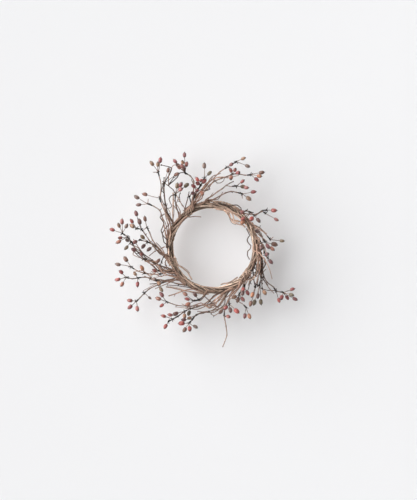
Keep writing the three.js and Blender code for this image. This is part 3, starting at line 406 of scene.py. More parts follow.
# Berry sprigs: the foot as clock and seat, the stem's knots as clock, reach and lift, side twigs and
# berries that leave a numbered knot, and each berry's tone and size. The end of each side twig is one
# more knot, numbered after the stem's own.
Sprig = namedtuple("Sprig", "name slot foot stem berries twigs strands kind", defaults=((), STRANDS, STEM))
SPRIGS = (
    Sprig("upper_left_tall", "berry_amber", (282, 75), strands=(0, 0), kind=PALE_STEM,
        stem=((293, 0, 8), (299, 4, 9), (303, 14, 10), (307, 25, 10), (310, 36, 10), (313, 47, 9),
            (318, 56, 8), (321, 65, 8), (324, 84, 8)),
        twigs=((8, (321.5, 89, 10)),),
        berries=((8, 324, 103, 9, "tan"), (8, 326.5, 95, 13, "tan"), (8, 329, 100, 6, "maroon"),
            (5, 308, 72, 6, "brown"))),
    Sprig("upper_left_second", "berry_brown", (286, 15), strands=(2, 5), kind=PALE_STEM,
        stem=((297, 2, 2), (302, 9, 2), (306, 19, 2), (311, 29, 2), (317, 45, 1), (323, 63, 0)),
        twigs=((5, (324.5, 52, 2), (325.5, 43, 3)),),
        berries=((5, 330, 78, 2, "brown"), (5, 333.5, 64, 4, "brown"))),
    Sprig("upper_left_olive", "berry_olive", (306, 60), strands=(2, 4),
        stem=((315.5, 6, 8), (318.5, 17, 9), (322, 27, 10), (325, 34, 10)),
        twigs=(
            (3, (321, 36, 13), (318, 34, 15), (316.5, 28, 16), (315.5, 22, 16), (313, 21, 17), (310, 26, 18)),
            (3, (324.5, 18, 9), (323.5, 9, 8))),
        berries=((3, 330, 45, 12, "olive"), (3, 333, 43, 17, "maroon"), (3, 331, 35.5, 18, "rose"),
            (3, 337, 38, 11, "moss"))),
    Sprig("top_crown", "berry_crimson", (327.5, -5), strands=(1, 3),
        stem=((337, 7, -3), (341, 25, -6), (344, 42, -6), (342.5, 53, -5), (339.6, 61, -4)),
        berries=((4, 336.4, 87.6, -6, "maroon"), (4, 337, 79, -9, "sloe"), (4, 339.4, 73.5, 2, "rose"),
            (4, 342.5, 75, -6, "russet"), (4, 340, 70.5, -4, "maroon"), (4, 343, 92, -2, "plum"),
            (4, 340.4, 79, 10, "amber"), (4, 337, 72.5, 12, "salmon"))),
    Sprig("top_red_bunch", "berry_red", (327.5, 90), strands=(2, 3.5),
        stem=((336, 6, 13), (341, 16, 15), (346, 25, 16), (349, 31, 16), (353, 42, 15)),
        berries=((4, 350, 38, 23, "scarlet"), (3, 347, 42, 17, "scarlet"), (2, 342.5, 32, 21, "crimson"),
            (2, 344.5, 22, 24, "maroon"), (2, 348.5, 16.5, 20, "salmon"), (1, 339.5, 20, 21, "plum"),
            (4, 354, 64, 13, "grey"), (4, 357.4, 50, 12, "moss"), (3, 352.5, 36.5, 15, "red"),
            (3, 346.6, 34.5, 22, "crimson"))),
    Sprig("top_long_upper", "berry_plum", (327.5, 22), strands=(2, 3),
        stem=((339, 7, 1), (347, 20, -1), (354, 33, -3), (359, 39, -3), (5.3, 54, -1), (10, 64, 1),
            (15.3, 77, 3)),
        berries=((5, 12.5, 70, 6, "plum"), (6, 18.8, 86, 4, "tan"), (6, 23, 76, 5, "grey"))),
    Sprig("top_long_lower", "berry_brown", (327.5, 56), strands=(2, 3.5),
        stem=((341, 5, 7), (349, 15, 6), (356, 28, 5), (2, 37, 5), (7, 42, 6), (11, 47, 7), (15, 53, 8),
            (20, 57, 9), (24, 59, 9), (27.4, 64, 9)),
        twigs=((2, (357, 22, 8), (354, 20, 10), (350.5, 21, 11), (348, 24, 11)),
            (3, (4, 33, 9), (7, 34, 11), (9, 38, 12), (9.5, 44, 12))),
        berries=((6, 15.8, 61, 13, "russet"), (6, 18.5, 58, 16, "maroon"), (6, 13, 59, 10, "russet"),
            (6, 14.5, 46, 14, "salmon"), (9, 33, 77, 10, "umber"), (9, 33, 69, 14, "orange"),
            (9, 32.6, 62, 8, "maroon"))),
    Sprig("top_right_fork", "berry_red", (342, 60),
        stem=((352, 4, 7), (359, 10, 8), (5, 18, 9), (9, 24, 9), (12, 31, 9), (14.5, 36, 9),
            (17.4, 41.5, 9)),
        twigs=((4, (16, 31, 10), (21, 35, 11)),),
        berries=((7, 24, 46.5, 13, "red"), (7, 26.5, 39, 8, "olive"), (7, 29, 40, 13, "rose"))),
    Sprig("top_right_low", "berry_plum", (350, 14),
        stem=((1, 4, 3), (8, 11, 4), (13, 18, 5), (18, 23, 6), (23, 25, 6), (28.4, 27, 6)),
        twigs=((5, (31, 20, 5)),),
        berries=((5, 36, 40.5, 8, "crimson"), (5, 36, 26, 5, "tan"))),
    Sprig("right_upper", "berry_red", (34.5, 45),
        stem=((42, 6, 8), (47, 10, 9), (52.4, 11, 9), (53, 19, 9), (53, 27, 9), (55, 34, 10)),
        twigs=((4, (57, 29, 11)),),
        berries=((0, 39.5, -1, 16, "rose"), (1, 46, -8.5, 17, "red"), (1, 49.5, -12.5, 12, "orange"),
            (2, 53.5, 3, 16, "scarlet", 1.2), (2, 59, 12, 10, "sloe"), (5, 58.6, 45, 11, "red"),
            (6, 66, 41, 12, "rose"))),
    Sprig("right_single", "berry_brown", (54.5, 70),
        stem=((62, 2, 7), (67, 8, 7), (73, 13, 7), (78, 17, 7), (82, 21, 7)),
        twigs=((4, (80, 27, 8)),),
        berries=((4, 84.4, 41.5, 8, "olive"),)),
    Sprig("right_pair", "berry_brown", (62, 15), strands=(2, 3),
        stem=((71, 4, 2), (77.5, 7, 1), (83.6, 11, 1)),
        berries=((2, 88.7, 15.6, 5, "plum"), (2, 87, 28, -1, "umber", 1.15), (2, 91, 24, 3, "salmon"),
            (0, 69.5, 1, 9, "sloe"))),
    Sprig("right_plum", "berry_plum", (68.5, 88), strands=(2, 3),
        stem=((78, 1, 10), (85, 4, 10), (91, 8, 10), (98, 12, 9), (101, 18, 8)),
        berries=((1, 90, 4, 15, "sloe"), (3, 97, 15, 15, "plum"), (4, 103.6, 24, 8, "plum"))),
    Sprig("lower_right_olive", "berry_olive", (84.5, 30), strands=(2, 5),
        stem=((97, 5, 3), (106, 10, 2), (114, 15, 1), (122, 20, 0), (129, 25, 0)),
        berries=((4, 131, 40, 2, "amber"), (4, 137, 36, 5, "sloe"), (4, 143, 41, -3, "moss"),
            (4, 138.5, 48, -1, "moss"))),
    Sprig("lower_right_amber", "berry_amber", (90.5, 72), strands=(2, 5),
        stem=((103, 4, 9), (113, 9, 11), (124, 14, 13), (133, 21, 13)),
        berries=((3, 140, 27, 14, "orange"), (3, 146, 38, 12, "brown"))),
    Sprig("lower_right_long", "berry_crimson", (96.5, -15), strands=(2, 5),
        stem=((106, 6, -4), (113, 14, -6), (119, 22, -8), (122.5, 33, -8), (123, 47, -7), (124.3, 55, -6),
            (122.5, 68, -4)),
        twigs=((5, (128, 42, -9), (131, 29, -10)),),
        berries=((6, 117.7, 79, -2, "crimson"), (6, 126, 70, 1, "crimson"), (5, 128.5, 70, -8, "red"),
            (6, 124, 79, -7, "crimson"), (6, 121, 82, 1, "moss"), (6, 122, 92, -5, "plum"))),
    Sprig("bottom_right_crimson", "berry_crimson", (130, 62),
        stem=((139.5, 4, 8), (141.5, 8, 9)),
        berries=((1, 144, 10, 15, "red"), (1, 146.5, 15, 10, "sloe"), (1, 142.5, 19, 8, "crimson"))),
    Sprig("bottom_right_amber", "berry_amber", (130, 32), strands=(1, 3.5),
        stem=((142, 5, 3), (147, 10, 3), (151, 14, 3)),
        berries=((2, 156.7, 14, 3, "amber"), (2, 154.5, 21, 3, "umber"), (2, 150, 24, 2, "rose"))),
    Sprig("bottom_red", "berry_red", (131, 92), strands=(2, 3.5),
        stem=((144, 1, 11), (152, 4, 12), (159, 8, 12), (163, 15, 12), (164, 23, 12)),
        twigs=((2, (155.5, 22, 12), (152, 32, 11), (151, 40, 10)),),
        berries=((4, 168, 27, 14, "red"), (4, 164.5, 33, 12, "sloe"), (4, 159.5, 38, 13, "scarlet", 1.2),
            (5, 155, 52, 9, "plum"), (5, 152, 56, 11, "orange"))),
    Sprig("bottom_tail", "berry_brown", (148, 12), strands=(0, 0), kind=PALE_STEM,
        stem=((156, 5, 2), (163, 14, 1), (168, 26, 0), (170.5, 41, 0), (170.5, 61, 0), (171, 77, 1),
            (174.4, 96.6, 2)),
        berries=((3, 167.5, 44, 6, "russet"), (2, 173, 33, 4, "umber"))),
    Sprig("bottom_left_long", "berry_plum", (158.5, 60), strands=(2, 5),
        stem=((170, 7, 8), (180, 19, 9), (188, 21, 9), (195, 25, 9), (203, 31, 9), (212, 39, 9),
            (220.6, 44.5, 9)),
        berries=((6, 227.5, 42, 10, "plum"), (6, 227, 51, 7, "brown"), (6, 221.5, 55, 12, "red"))),
    Sprig("bottom_left_red", "berry_red", (154.5, -8), strands=(2, 5),
        stem=((166, 9, -3), (173, 21, -5), (181, 31, -6), (189, 35, -6), (194, 43, -6), (196, 52, -5),
            (197.5, 60, -4)),
        berries=((6, 202.5, 65, -3, "red", 1.25), (6, 192.5, 63, -1, "grey"), (6, 196, 69, 2, "red"),
            (6, 199, 74, -5, "umber"), (5, 202, 57, 1, "plum"), (4, 198.5, 50.5, 3, "amber"))),
    Sprig("bottom_left_amber", "berry_amber", (168.5, 22), strands=(1, 5),
        stem=((181, 8, 1), (188, 19, -1), (195, 28, -2), (200, 34, -2), (204, 43, -1), (207, 56, 0),
            (209.4, 65, 0), (211, 72, 0)),
        berries=((3, 200, 43, -5, "moss"), (4, 202.5, 50, 6, "amber", 1.2), (4, 209.5, 53, 4, "sloe"),
            (5, 212.5, 60, 4, "rose"), (6, 215.8, 69, 1, "russet"), (7, 211, 82.5, 1, "red"))),
    Sprig("bottom_left_short", "berry_red", (182.5, 80),
        stem=((191, 5, 10), (195, 14, 11), (199.5, 18, 12)),
        berries=((2, 206.5, 20, 16, "red"), (2, 204, 28, 15, "salmon"), (2, 211, 14, 12, "brown"),
            (1, 201, 7, 13, "sloe"))),
    Sprig("left_low_plain", "berry_brown", (220.5, -2), strands=(2, 4),
        stem=((230, 8, -2), (234, 22, -4), (236, 37, -5), (237, 54, -5), (236.4, 65.5, -5), (235.4, 77, -4),
            (235, 86, -4)),
        berries=((6, 237.5, 95, -6, "russet"), (6, 234.4, 101, -3, "crimson"), (6, 231, 92, -1, "rose"),
            (4, 231.5, 63, -8, "grey", 0.7), (2, 231, 37, -2, "olive"))),
    Sprig("left_low_plum", "berry_plum", (221.5, 62), strands=(3, 4.5),
        stem=((230, 8, 9), (235, 23, 9), (240, 33, 9), (244, 41, 9), (246.7, 51, 9), (248, 62, 8),
            (248.9, 72, 8), (251, 80.5, 8)),
        berries=((7, 255, 87, 10, "crimson"), (7, 251.5, 97, 6, "red"), (7, 248, 92, 11, "salmon"),
            (5, 251.5, 64, 12, "tan"), (5, 244, 67, 9, "crimson"), (3, 241.5, 36, 15, "grey"),
            (2, 236.5, 33, 13, "amber"))),
    Sprig("left_brown", "berry_brown", (232.5, 18), strands=(3, 4.5),
        stem=((241, 8, 1), (243.5, 24, -1), (246.5, 37, -3), (249.5, 49, -4), (253, 60, -5),
            (257, 69.5, -5)),
        berries=((5, 260, 91, -4, "grey"), (5, 262.5, 76, -7, "umber", 1.15), (3, 254, 50, -2, "orange"),
            (1, 248.5, 30, 2, "russet"))),
    Sprig("left_red_long", "berry_red", (234.5, 66), strands=(4, 4.5),
        stem=((243, 7, 10), (248, 20, 12), (254, 25, 13), (258, 32, 13), (261, 43, 13), (266, 50, 13),
            (270, 57, 12), (274, 63, 11), (277, 71, 10), (279, 81, 9)),
        twigs=((6, (265, 60, 15), (262, 49, 17)),),
        berries=((9, 280, 100, 8, "red"), (9, 286, 86, 8, "rose"), (9, 283.3, 89, 14, "tan"),
            (9, 284, 76, 13, "grey"), (8, 273.5, 86, 10, "salmon"), (8, 276, 83, 16, "russet"),
            (7, 270, 72, 10, "olive"), (7, 275, 70, 18, "grey"), (4, 265, 45, 19, "russet"),
            (2, 256.5, 18, 11, "brown"), (5, 268.5, 58.5, 17, "plum"))),
    Sprig("left_short_plum", "berry_plum", (252, -2), strands=(2, 3),
        stem=((263, 6, 0), (268, 14, -1), (272.5, 23, -2), (275, 36, -2), (276, 50, -2)),
        berries=((3, 271, 42, 1, "sloe"), (2, 268.5, 32, 0, "sloe"), (4, 274, 58, -3, "maroon"),
            (3, 278.5, 45, 1, "olive"))),
    Sprig("left_single", "berry_brown", (252.5, 30),
        stem=((262, 5, 5), (270, 15, 7), (277, 26, 8), (283.5, 34, 8), (287, 41, 8)),
        twigs=((4, (284, 46, 9)),),
        berries=((4, 293, 49, 9, "brown"),)),
    Sprig("left_plum_pair", "berry_plum", (253, 68), strands=(2, 3),
        stem=((262, 6, 12), (269, 20, 15), (275, 29, 16), (281, 40, 16), (284.5, 49, 15)),
        twigs=((4, (284, 58, 14)),),
        berries=((4, 289.5, 56, 15, "sloe"), (4, 294, 67, 12, "plum"), (5, 288, 69, 17, "red"),
            (5, 285, 66.5, 11, "tan"))),
    Sprig("left_grey", "berry_brown", (274.5, 0),
        stem=((285, 5, -2), (293, 12, -4), (300, 22, -5), (305, 34, -6), (305, 47, -6), (304, 59, -5)),
        twigs=((5, (307, 63, -4)),),
        berries=((5, 303.6, 82, -4, "grey"), (5, 300, 72, -7, "sloe"))),
)


# Places and lines

def place(clock, reach, lift, edge=RING_OUTSIDE):
    """Point at a clock, a reach out from an edge of the ring and a lift toward the viewer."""
    angle = math.radians(clock)
    radius = edge + reach
    splay = 1 + max(0.0, radius - RING_OUTSIDE) / SPLAY_REACH
    return Vector((radius * math.sin(angle), -lift * splay, radius * math.cos(angle)))


def bow_at(distance):
    """How far the ring's centre line bends away from a straight foot."""
    return distance ** 2 / (2 * RING_RADIUS)


def wrapped(angle, whole):
    """Angle brought to within half a whole on either side of zero."""
    return math.radians((angle + whole / 2) % whole - whole / 2)


def seat_radius(clock, seat, diameter):
    """Distance from the ring's centre line to a straight foot that rests on the wound vines."""
    resting = (VINE_DIAMETER + diameter) / 2 + SEAT_CLEARANCE
    outward = math.cos(math.radians(seat))
    radius = 0.0
    for station in range(FOOT_STATIONS + 1):
        distance = FOOT_LENGTH * (station / FOOT_STATIONS - 0.5)
        vine_turn = VINE_TWISTS_PER_LAP * (clock + math.degrees(distance / RING_RADIUS))
        aside = wrapped(seat - vine_turn, FULL_TURN / LAPS_ROUND_CORE)
        sideways = WINDING_RADIUS * math.sin(aside)
        above = WINDING_RADIUS * math.cos(aside) + math.sqrt(resting ** 2 - sideways ** 2)
        radius = max(radius, above - bow_at(distance) * outward)
    half_step = math.pi * RING_RADIUS / VINE_STEPS_PER_LAP
    return radius + bow_at(half_step) * max(0.0, -outward)


def foot_line(clock, seat, diameter, heading=1):
    """Tail, middle and head of the straight foot that lies along the ring."""
    angle = math.radians(clock)
    turn = math.radians(seat)
    rise = seat_radius(clock, seat, diameter)
    middle = Vector((math.sin(angle), 0, math.cos(angle))) * (RING_RADIUS + rise * math.cos(turn))
    middle.y = -rise * math.sin(turn)
    half = Vector((math.cos(angle), 0, -math.sin(angle))) * (heading * FOOT_LENGTH / 2)
    return [middle - half, middle, middle + half]


def smooth_line(points, step, ease):
    """Points on one centripetal curve through the given ones, about a step apart. Less ease, more kink."""
    knots = [points[0] * 2 - points[1], *points, points[-1] * 2 - points[-2]]
    line = [points[0].copy()]
    for before, start, end, after in zip(knots, knots[1:], knots[2:], knots[3:]):
        first = (start - before).length ** 0.5
        span = (end - start).length ** 0.5
        last = (after - end).length ** 0.5
        leave = (start - before) / first - (end - before) / (first + span) + (end - start) / span
        arrive = (end - start) / span - (after - start) / (span + last) + (after - end) / last
        leave *= span * ease
        arrive *= span * ease
        parts = max(1, round((end - start).length / step))
        for part in range(1, parts + 1):
            t = part / parts
            line.append(
                start * (2 * t ** 3 - 3 * t ** 2 + 1) + leave * (t ** 3 - 2 * t ** 2 + t)
                + end * (3 * t ** 2 - 2 * t ** 3) + arrive * (t ** 3 - t ** 2)
            )
    return line


def stray(distance, seed, plane):
    """Smooth random value along a line."""
    return noise.noise(Vector((distance, seed, STRAY_PLANES[plane])))


def winding_line(start_clock, travel, start_turn, turns_per_lap, radius, step, wander=0.0, seed=0.0):
    """Points that wind round the ring's section while they travel along the ring."""
    count = max(2, round(math.radians(travel) * RING_RADIUS / step))
    line = []
    for i in range(count + 1):
        moved = travel * i / count
        drift = DRIFT_SHARE * wander * stray(moved * DRIFT_PITCH, seed, "drift")
        turn = math.radians(start_turn + moved * turns_per_lap) + drift
        out = radius + wander * stray(moved * STRAY_PITCH, seed, "out")
        line.append(place(start_clock + moved, out * math.cos(turn), out * math.sin(turn), RING_RADIUS))
    return line


def line_lengths(line):
    """Distance of each point of a line from its start."""
    lengths = [0.0]
    for start, end in zip(line, line[1:]):
        lengths.append(lengths[-1] + (end - start).length)
    return lengths


def tapered(line, start, end):
    """Radii along a line that run evenly between two diameters."""
    lengths = line_lengths(line)
    return [(start + (end - start) * length / lengths[-1]) / 2 for length in lengths]


def line_frames(line):
    """Directions ahead, across and beside at each point, without twist."""
    across = Vector((0.0, 1.0, 0.0))
    nearly_along = 0.95
    last = len(line) - 1
    frames = []
    for i in range(len(line)):
        ahead = (line[min(i + 1, last)] - line[max(i - 1, 0)]).normalized()
        if abs(across.dot(ahead)) > nearly_along:
            across = ahead.orthogonal()
        across = (across - ahead * across.dot(ahead)).normalized()
        frames.append((ahead, across, ahead.cross(across)))
    return frames


def square_to(heading):
    """Two directions square to a heading and to each other."""
    across = heading.orthogonal().normalized()
    return across, heading.cross(across)


def sideways_at(axes, turn):
    """Direction at a turn round a line, from the two directions square to it."""
    return axes[0] * math.cos(turn) + axes[1] * math.sin(turn)


def random_way(rng, back=1.0):
    """Random direction that points to the wall no more than is given."""
    return Vector((rng.uniform(-1, 1), rng.uniform(-1, back), rng.uniform(-1, 1))).normalized()


def circle(sides):
    """Places round a circle of radius 1."""
    turns = [2 * math.pi * side / sides for side in range(sides)]
    return [(math.cos(turn), math.sin(turn)) for turn in turns]


def bumpy_ring(centre, axes, radius, along, sides, bumps, relief, seed):
    """Points round a centre, with broad and fine bumps in their outline."""
    broad, broad_along, fine, fine_along, fine_share = bumps
    ring = []
    for x, y in circle(sides):
        lobe = noise.noise(Vector((x * broad + seed, y * broad, along * broad_along)))
        crack = noise.noise(Vector((x * fine, y * fine + seed, along * fine_along)))
        girth = radius * (1 + relief * (lobe + fine_share * crack))
        ring.append(centre + axes[0] * (x * girth) + axes[1] * (y * girth))
    return ring


def crevice_at(point):
    """Share of painted shade at a point: how deep it lies between the ring's vines, from 0 at their outside
    to 1.
    """
    middle = math.hypot(math.hypot(point.x, point.z) - RING_RADIUS, point.y)
    return min(1.0, max(0.0, (SECTION_RADIUS - middle) / PAINTED_SHADE_DEPTH))


# Meshes

class Growth:
    """Collects strands, knots and berries as the points and faces of one mesh."""

    def __init__(self):
        self.points = []
        self.faces = []
        self.slots = []
        self.strand = []
        self.age = []
        self.tint = []

    def add_point(self, point, strand, age, tint):
        """Adds one point with the values that its material reads."""
        self.points.append(point)
        self.strand.append(strand)
        self.age.append(age)
        self.tint.append(tint)
        return len(self.points) - 1

    def add_face(self, corners, slot):
        """Adds one face of a material slot."""
        self.faces.append(corners)
        self.slots.append(slot)

    def add_rings(self, rings, poles, lengths, ages, slot, tint):
        """Adds a closed skin over rings of points, with one pole point beyond each end."""
        sides = len(rings[0])
        first = len(self.points)
        for ring, length, age in zip(rings, lengths, ages):
            for (x, y), point in zip(circle(sides), ring):
                self.add_point(point, (x, y, length), age, tint)
        start = self.add_point(poles[0], (0.0, 0.0, lengths[0]), ages[0], tint)
        end = self.add_point(poles[1], (0.0, 0.0, lengths[-1]), ages[-1], tint)
        top = first + (len(rings) - 1) * sides
        pairs = [(side, (side + 1) % sides) for side in range(sides)]
        for low in range(first, top, sides):
            for side, after in pairs:
                self.add_face((low + side, low + after, low + sides + after, low + sides + side), slot)
        for side, after in pairs:
            self.add_face((first + after, first + side, start), slot)
            self.add_face((top + side, top + after, end), slot)

    def add_strand(self, line, radii, kind, slot, rng):
        """Adds a bark-covered strand along a line, with lobes and cracks in its outline."""
        lengths = line_lengths(line)
        seed = rng.uniform(*BUMP_SEEDS)
        rings = [
            bumpy_ring(centre, axes, radius, length, kind.sides, BARK_BUMPS, kind.relief, seed)
            for centre, radius, length, (_, *axes) in zip(line, radii, lengths, line_frames(line))
        ]
        ahead = (line[1] - line[0]).normalized()
        behind = (line[-1] - line[-2]).normalized()
        start_bulge, end_bulge = END_BULGES
        poles = (line[0] - ahead * radii[0] * start_bulge, line[-1] + behind * radii[-1] * end_bulge)
        young, old = kind.ages
        ages = [young + (old - young) * length / lengths[-1] for length in lengths]
        self.add_rings(rings, poles, lengths, ages, slot, rng.uniform(*kind.tints))

    def add_knob(self, centre, radius, slot, rng):
        """Adds a lumpy swelling."""
        axis = random_way(rng)
        across, beside = square_to(axis)
        rings = []
        for station in KNOB_STATIONS:
            girth = radius * math.sqrt(1 - station ** 2)
            ring = []
            for x, y in circle(KNOB_SIDES):
                bulge = girth * rng.uniform(*KNOB_LUMPS)
                ring.append(centre + axis * (station * radius) + across * (bulge * x) + beside * (bulge * y))
            rings.append(ring)
        poles = (centre - axis * radius, centre + axis * radius)
        lengths = [radius * (station + 1) for station in KNOB_STATIONS]
        self.add_rings(rings, poles, lengths, [1.0] * len(rings), slot, rng.random())

    def add_berry(self, base, heading, length, diameter, slot, rng, sides):
        """Adds a wrinkled oval berry with a sunken stalk end and a dark nub at its tip."""
        axes = square_to(heading)
        bend = sideways_at(axes, rng.uniform(0, 2 * math.pi)) * (rng.uniform(*BERRY_BEND) * length)
        seed = rng.uniform(*BUMP_SEEDS)
        rings = []
        for wide, along in BERRY_PROFILE:
            centre = base + heading * (along * length) + bend * math.sin(math.pi * min(along, 1.0))
            radius = wide * diameter / 2
            rings.append(bumpy_ring(centre, axes, radius, along, sides, BERRY_BUMPS, BERRY_RELIEF, seed))
        ages = [along for _, along in BERRY_PROFILE]
        poles = (base + heading * (BERRY_CUP * length), base + heading * (ages[-1] * length))
        self.add_rings(rings, poles, [along * length for along in ages], ages, slot, rng.random())


def make_piece(name, growth, materials, body, nodes=()):
    """Turns a growth into a mesh object that rides a body and stands for nodes of the frame."""
    mesh = bpy.data.meshes.new(name)
    lift = Vector((0.0, 0.0, -RING_INSIDE))
    mesh.from_pydata([(point + lift) * MM for point in growth.points], [], growth.faces)
    strand = mesh.attributes.new("strand", "FLOAT_VECTOR", "POINT")
    strand.data.foreach_set("vector", [value for triple in growth.strand for value in triple])
    # Painted shade: how deep each point lies between the ring's vines, which the bark reads to darken it
    # there
    crevice = [crevice_at(point) for point in growth.points]
    for label, values in (("age", growth.age), ("tint", growth.tint), ("crevice", crevice)):
        mesh.attributes.new(label, "FLOAT", "POINT").data.foreach_set("value", values)
    for material in materials:
        mesh.materials.append(material)
    mesh.polygons.foreach_set("material_index", growth.slots)
    mesh.shade_smooth()
    mesh.update()
    piece = bpy.data.objects.new(name, mesh)
    bpy.context.scene.collection.objects.link(piece)
    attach(piece, body)
    if nodes:
        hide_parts(*nodes)


def body_of(node):
    """Name of the body that carries a node."""
    for body, nodes in frame["record"]["behaviour"]["bodies"].items():
        if node in nodes:
            return body
    raise KeyError(node)


# Materials

def linear(colour):
    """sRGB colour as scene-linear RGBA."""
    def channel(value):
        return value / 12.92 if value <= 0.04045 else ((value + 0.055) / 1.055) ** 2.4
    return (*(channel(value) for value in colour[:3]), 1.0)


def feed(tree, socket, value):
    """Links an output to a socket, or sets the socket to a plain value."""
    if isinstance(value, bpy.types.NodeSocket):
        tree.links.new(value, socket)
    else:
        socket.default_value = value


def add_node(tree, kind, inputs=None, **settings):
    """Adds a node with its settings and inputs."""
    node = tree.nodes.new(kind)
    for label, value in settings.items():
        setattr(node, label, value)
    for label, value in (inputs or {}).items():
        feed(tree, node.inputs[label], value)
    return node


def mix_colour(tree, share, first, second, blend="MIX"):
    """Colour between two, by a share."""
    node = add_node(tree, "ShaderNodeMix", data_type="RGBA", blend_type=blend)
    colours = [socket for socket in node.inputs if socket.type == "RGBA"]
    feed(tree, node.inputs[0], share)
    feed(tree, colours[0], first)
    feed(tree, colours[1], second)
    return next(socket for socket in node.outputs if socket.type == "RGBA")


def map_range(tree, value, low, high, start, end):
    """Value carried from one range to another, clamped."""
    node = add_node(tree, "ShaderNodeMapRange", {
        "Value": value, "From Min": low, "From Max": high, "To Min": start, "To Max": end,
    })
    return node.outputs["Result"]


SURFACE_OUTPUTS = (("Color", "Color"), ("Roughness", "Float"), ("Height", "Float"))


class Skin:
    """Shader node group of a surface laid along a strand, with its colour as it is built up."""

    def __init__(self, name, values, colours, base):
        self.tree = bpy.data.node_groups.new(name, "ShaderNodeTree")
        sockets = [("Strand", "INPUT", "Vector")]
        sockets += [(label, "INPUT", "Float") for label in values]
        sockets += [(label, "INPUT", "Color") for label in colours]
        sockets += [(label, "OUTPUT", kind) for label, kind in SURFACE_OUTPUTS]
        for label, side, kind in sockets:
            self.tree.interface.new_socket(label, in_out=side, socket_type="NodeSocket" + kind)
        self.given = add_node(self.tree, "NodeGroupInput").outputs
        self.colour = self.given[base]

    def grain(self, kind):
        """Noise laid along a strand, different on each strand."""
        stretch, scale, detail = GRAINS[kind]
        shift = add_node(
            self.tree, "ShaderNodeVectorMath", {0: self.given["Tint"], 1: GRAIN_SHIFT}, operation="MULTIPLY")
        laid = add_node(self.tree, "ShaderNodeVectorMath", {
            0: self.given["Strand"], 1: stretch, 2: shift.outputs["Vector"],
        }, operation="MULTIPLY_ADD")
        node = add_node(self.tree, "ShaderNodeTexNoise", {
            "Vector": laid.outputs["Vector"], "Scale": scale, "Detail": detail, "Roughness": GRAIN_ROUGHNESS,
        })
        return node.outputs["Fac"]

    def blend(self, value, effect, colour):
        """Brings in another colour where a value gives an effect."""
        share = map_range(self.tree, value, *RANGES[effect])
        self.colour = mix_colour(self.tree, share, self.colour, self.given[colour])

    def shade(self, value, effect):
        """Darkens or lightens the colour where a value gives an effect."""
        strength = map_range(self.tree, value, *RANGES[effect])
        self.colour = mix_colour(self.tree, 1.0, self.colour, strength, "MULTIPLY")

    def finish(self, gloss, effect, broad, fine):
        """Gives out the colour, the roughness that a value makes, and the height of two grains."""
        height = add_node(self.tree, "ShaderNodeMath", {0: broad, 1: fine}, operation="ADD")
        add_node(self.tree, "NodeGroupOutput", {
            "Color": self.colour, "Roughness": map_range(self.tree, gloss, *RANGES[effect]),
            "Height": height.outputs["Value"],
        })
        return self.tree


def bark_group():
    """Streaked bark: long fibres, cracks across them, a change of colour toward the tip, and painted shade
    between the ring's vines.
    """
    bark = Skin("Bark", ("Age", "Tint", "Crevice"), ("Pale", "Dark", "Tip"), "Dark")
    fibre = bark.grain("fibre")
    crack = bark.grain("crack")
    bark.blend(fibre, "streak", "Pale")
    bark.blend(bark.given["Age"], "stem tip", "Tip")
    bark.shade(crack, "crack")
    bark.shade(bark.grain("patch"), "patch")
    bark.shade(bark.given["Tint"], "strand")
    # Painted shade: darker deep between the ring's vines, a little lighter elsewhere
    bark.shade(bark.given["Crevice"], "crevice")
    return bark.finish(crack, "bark roughness", fibre, crack)


def berry_group():
    """Berry skin: mottled blush, fine pale specks, a dark nub at the tip and a dark stalk cup."""
    berry = Skin("Berry Skin", ("Age", "Tint"), ("Skin", "Blush", "Nub"), "Skin")
    mottle = berry.grain("mottle")
    speck = berry.grain("speck")
    berry.blend(mottle, "blush", "Blush")
    berry.blend(speck, "speck", "Blush")
    berry.shade(berry.given["Tint"], "berry")
    for effect in ("cup", "berry tip", "nub"):
        berry.blend(berry.given["Age"], effect, "Nub")
    return berry.finish(mottle, "skin roughness", mottle, speck)


def new_material(name, shader):
    """Material with values set on its shader, with its node tree and that shader."""
    material = bpy.data.materials.new(name)
    material.use_nodes = True
    principled = material.node_tree.nodes["Principled BSDF"]
    for label, value in shader.items():
        principled.inputs[label].default_value = value
    return material, material.node_tree, principled


def strand_material(name, group, colours, bump, shader):
    """Material whose colour, roughness and bump come from a group laid along the strand."""
    material, tree, principled = new_material(name, shader)
    surface = add_node(tree, "ShaderNodeGroup", node_tree=group)
    for socket in surface.inputs:
        if socket.name in colours:
            socket.default_value = linear(colours[socket.name])
        else:
            reader = add_node(tree, "ShaderNodeAttribute", attribute_name=socket.name.lower())
            tree.links.new(reader.outputs["Vector" if socket.type == "VECTOR" else "Fac"], socket)
    relief = add_node(tree, "ShaderNodeBump", {
        "Strength": bump, "Distance": BUMP_DEPTH, "Height": surface.outputs["Height"],
    })
    tree.links.new(surface.outputs["Color"], principled.inputs["Base Color"])
    tree.links.new(surface.outputs["Roughness"], principled.inputs["Roughness"])
    tree.links.new(relief.outputs["Normal"], principled.inputs["Normal"])
    return material


def group_once(name, make):
    """Node group by name, made on first use."""
    return bpy.data.node_groups.get(name) or make()


def bark_material(name, pale, dark, tip):
    """Bark material by name, made on first use."""
    colours = {"Pale": pale, "Dark": dark, "Tip": tip}
    group = group_once("Bark", bark_group)
    return bpy.data.materials.get(name) or strand_material(name, group, colours, BARK_BUMP, BARK_SHADER)


def berry_material(tone, nub):
    """Berry material of a tone, made on first use."""
    name = "skin_" + tone
    skin, blush = TONES[tone]
    colours = {"Skin": skin, "Blush": blush, "Nub": nub}
    group = group_once("Berry Skin", berry_group)
    return bpy.data.materials.get(name) or strand_material(name, group, colours, SKIN_BUMP, SKIN_SHADER)


def dimmed(colour, share):
    """Share of a colour."""
    return [value * share for value in colour]


def vine_bark(look, shade):
    """Bark of a vine in one of the ring's colours."""
    colour = getattr(look, shade)
    cracks = dimmed(colour, CRACK_SHADE)
    return bark_material("bark_vine_" + shade, colour, cracks, cracks)


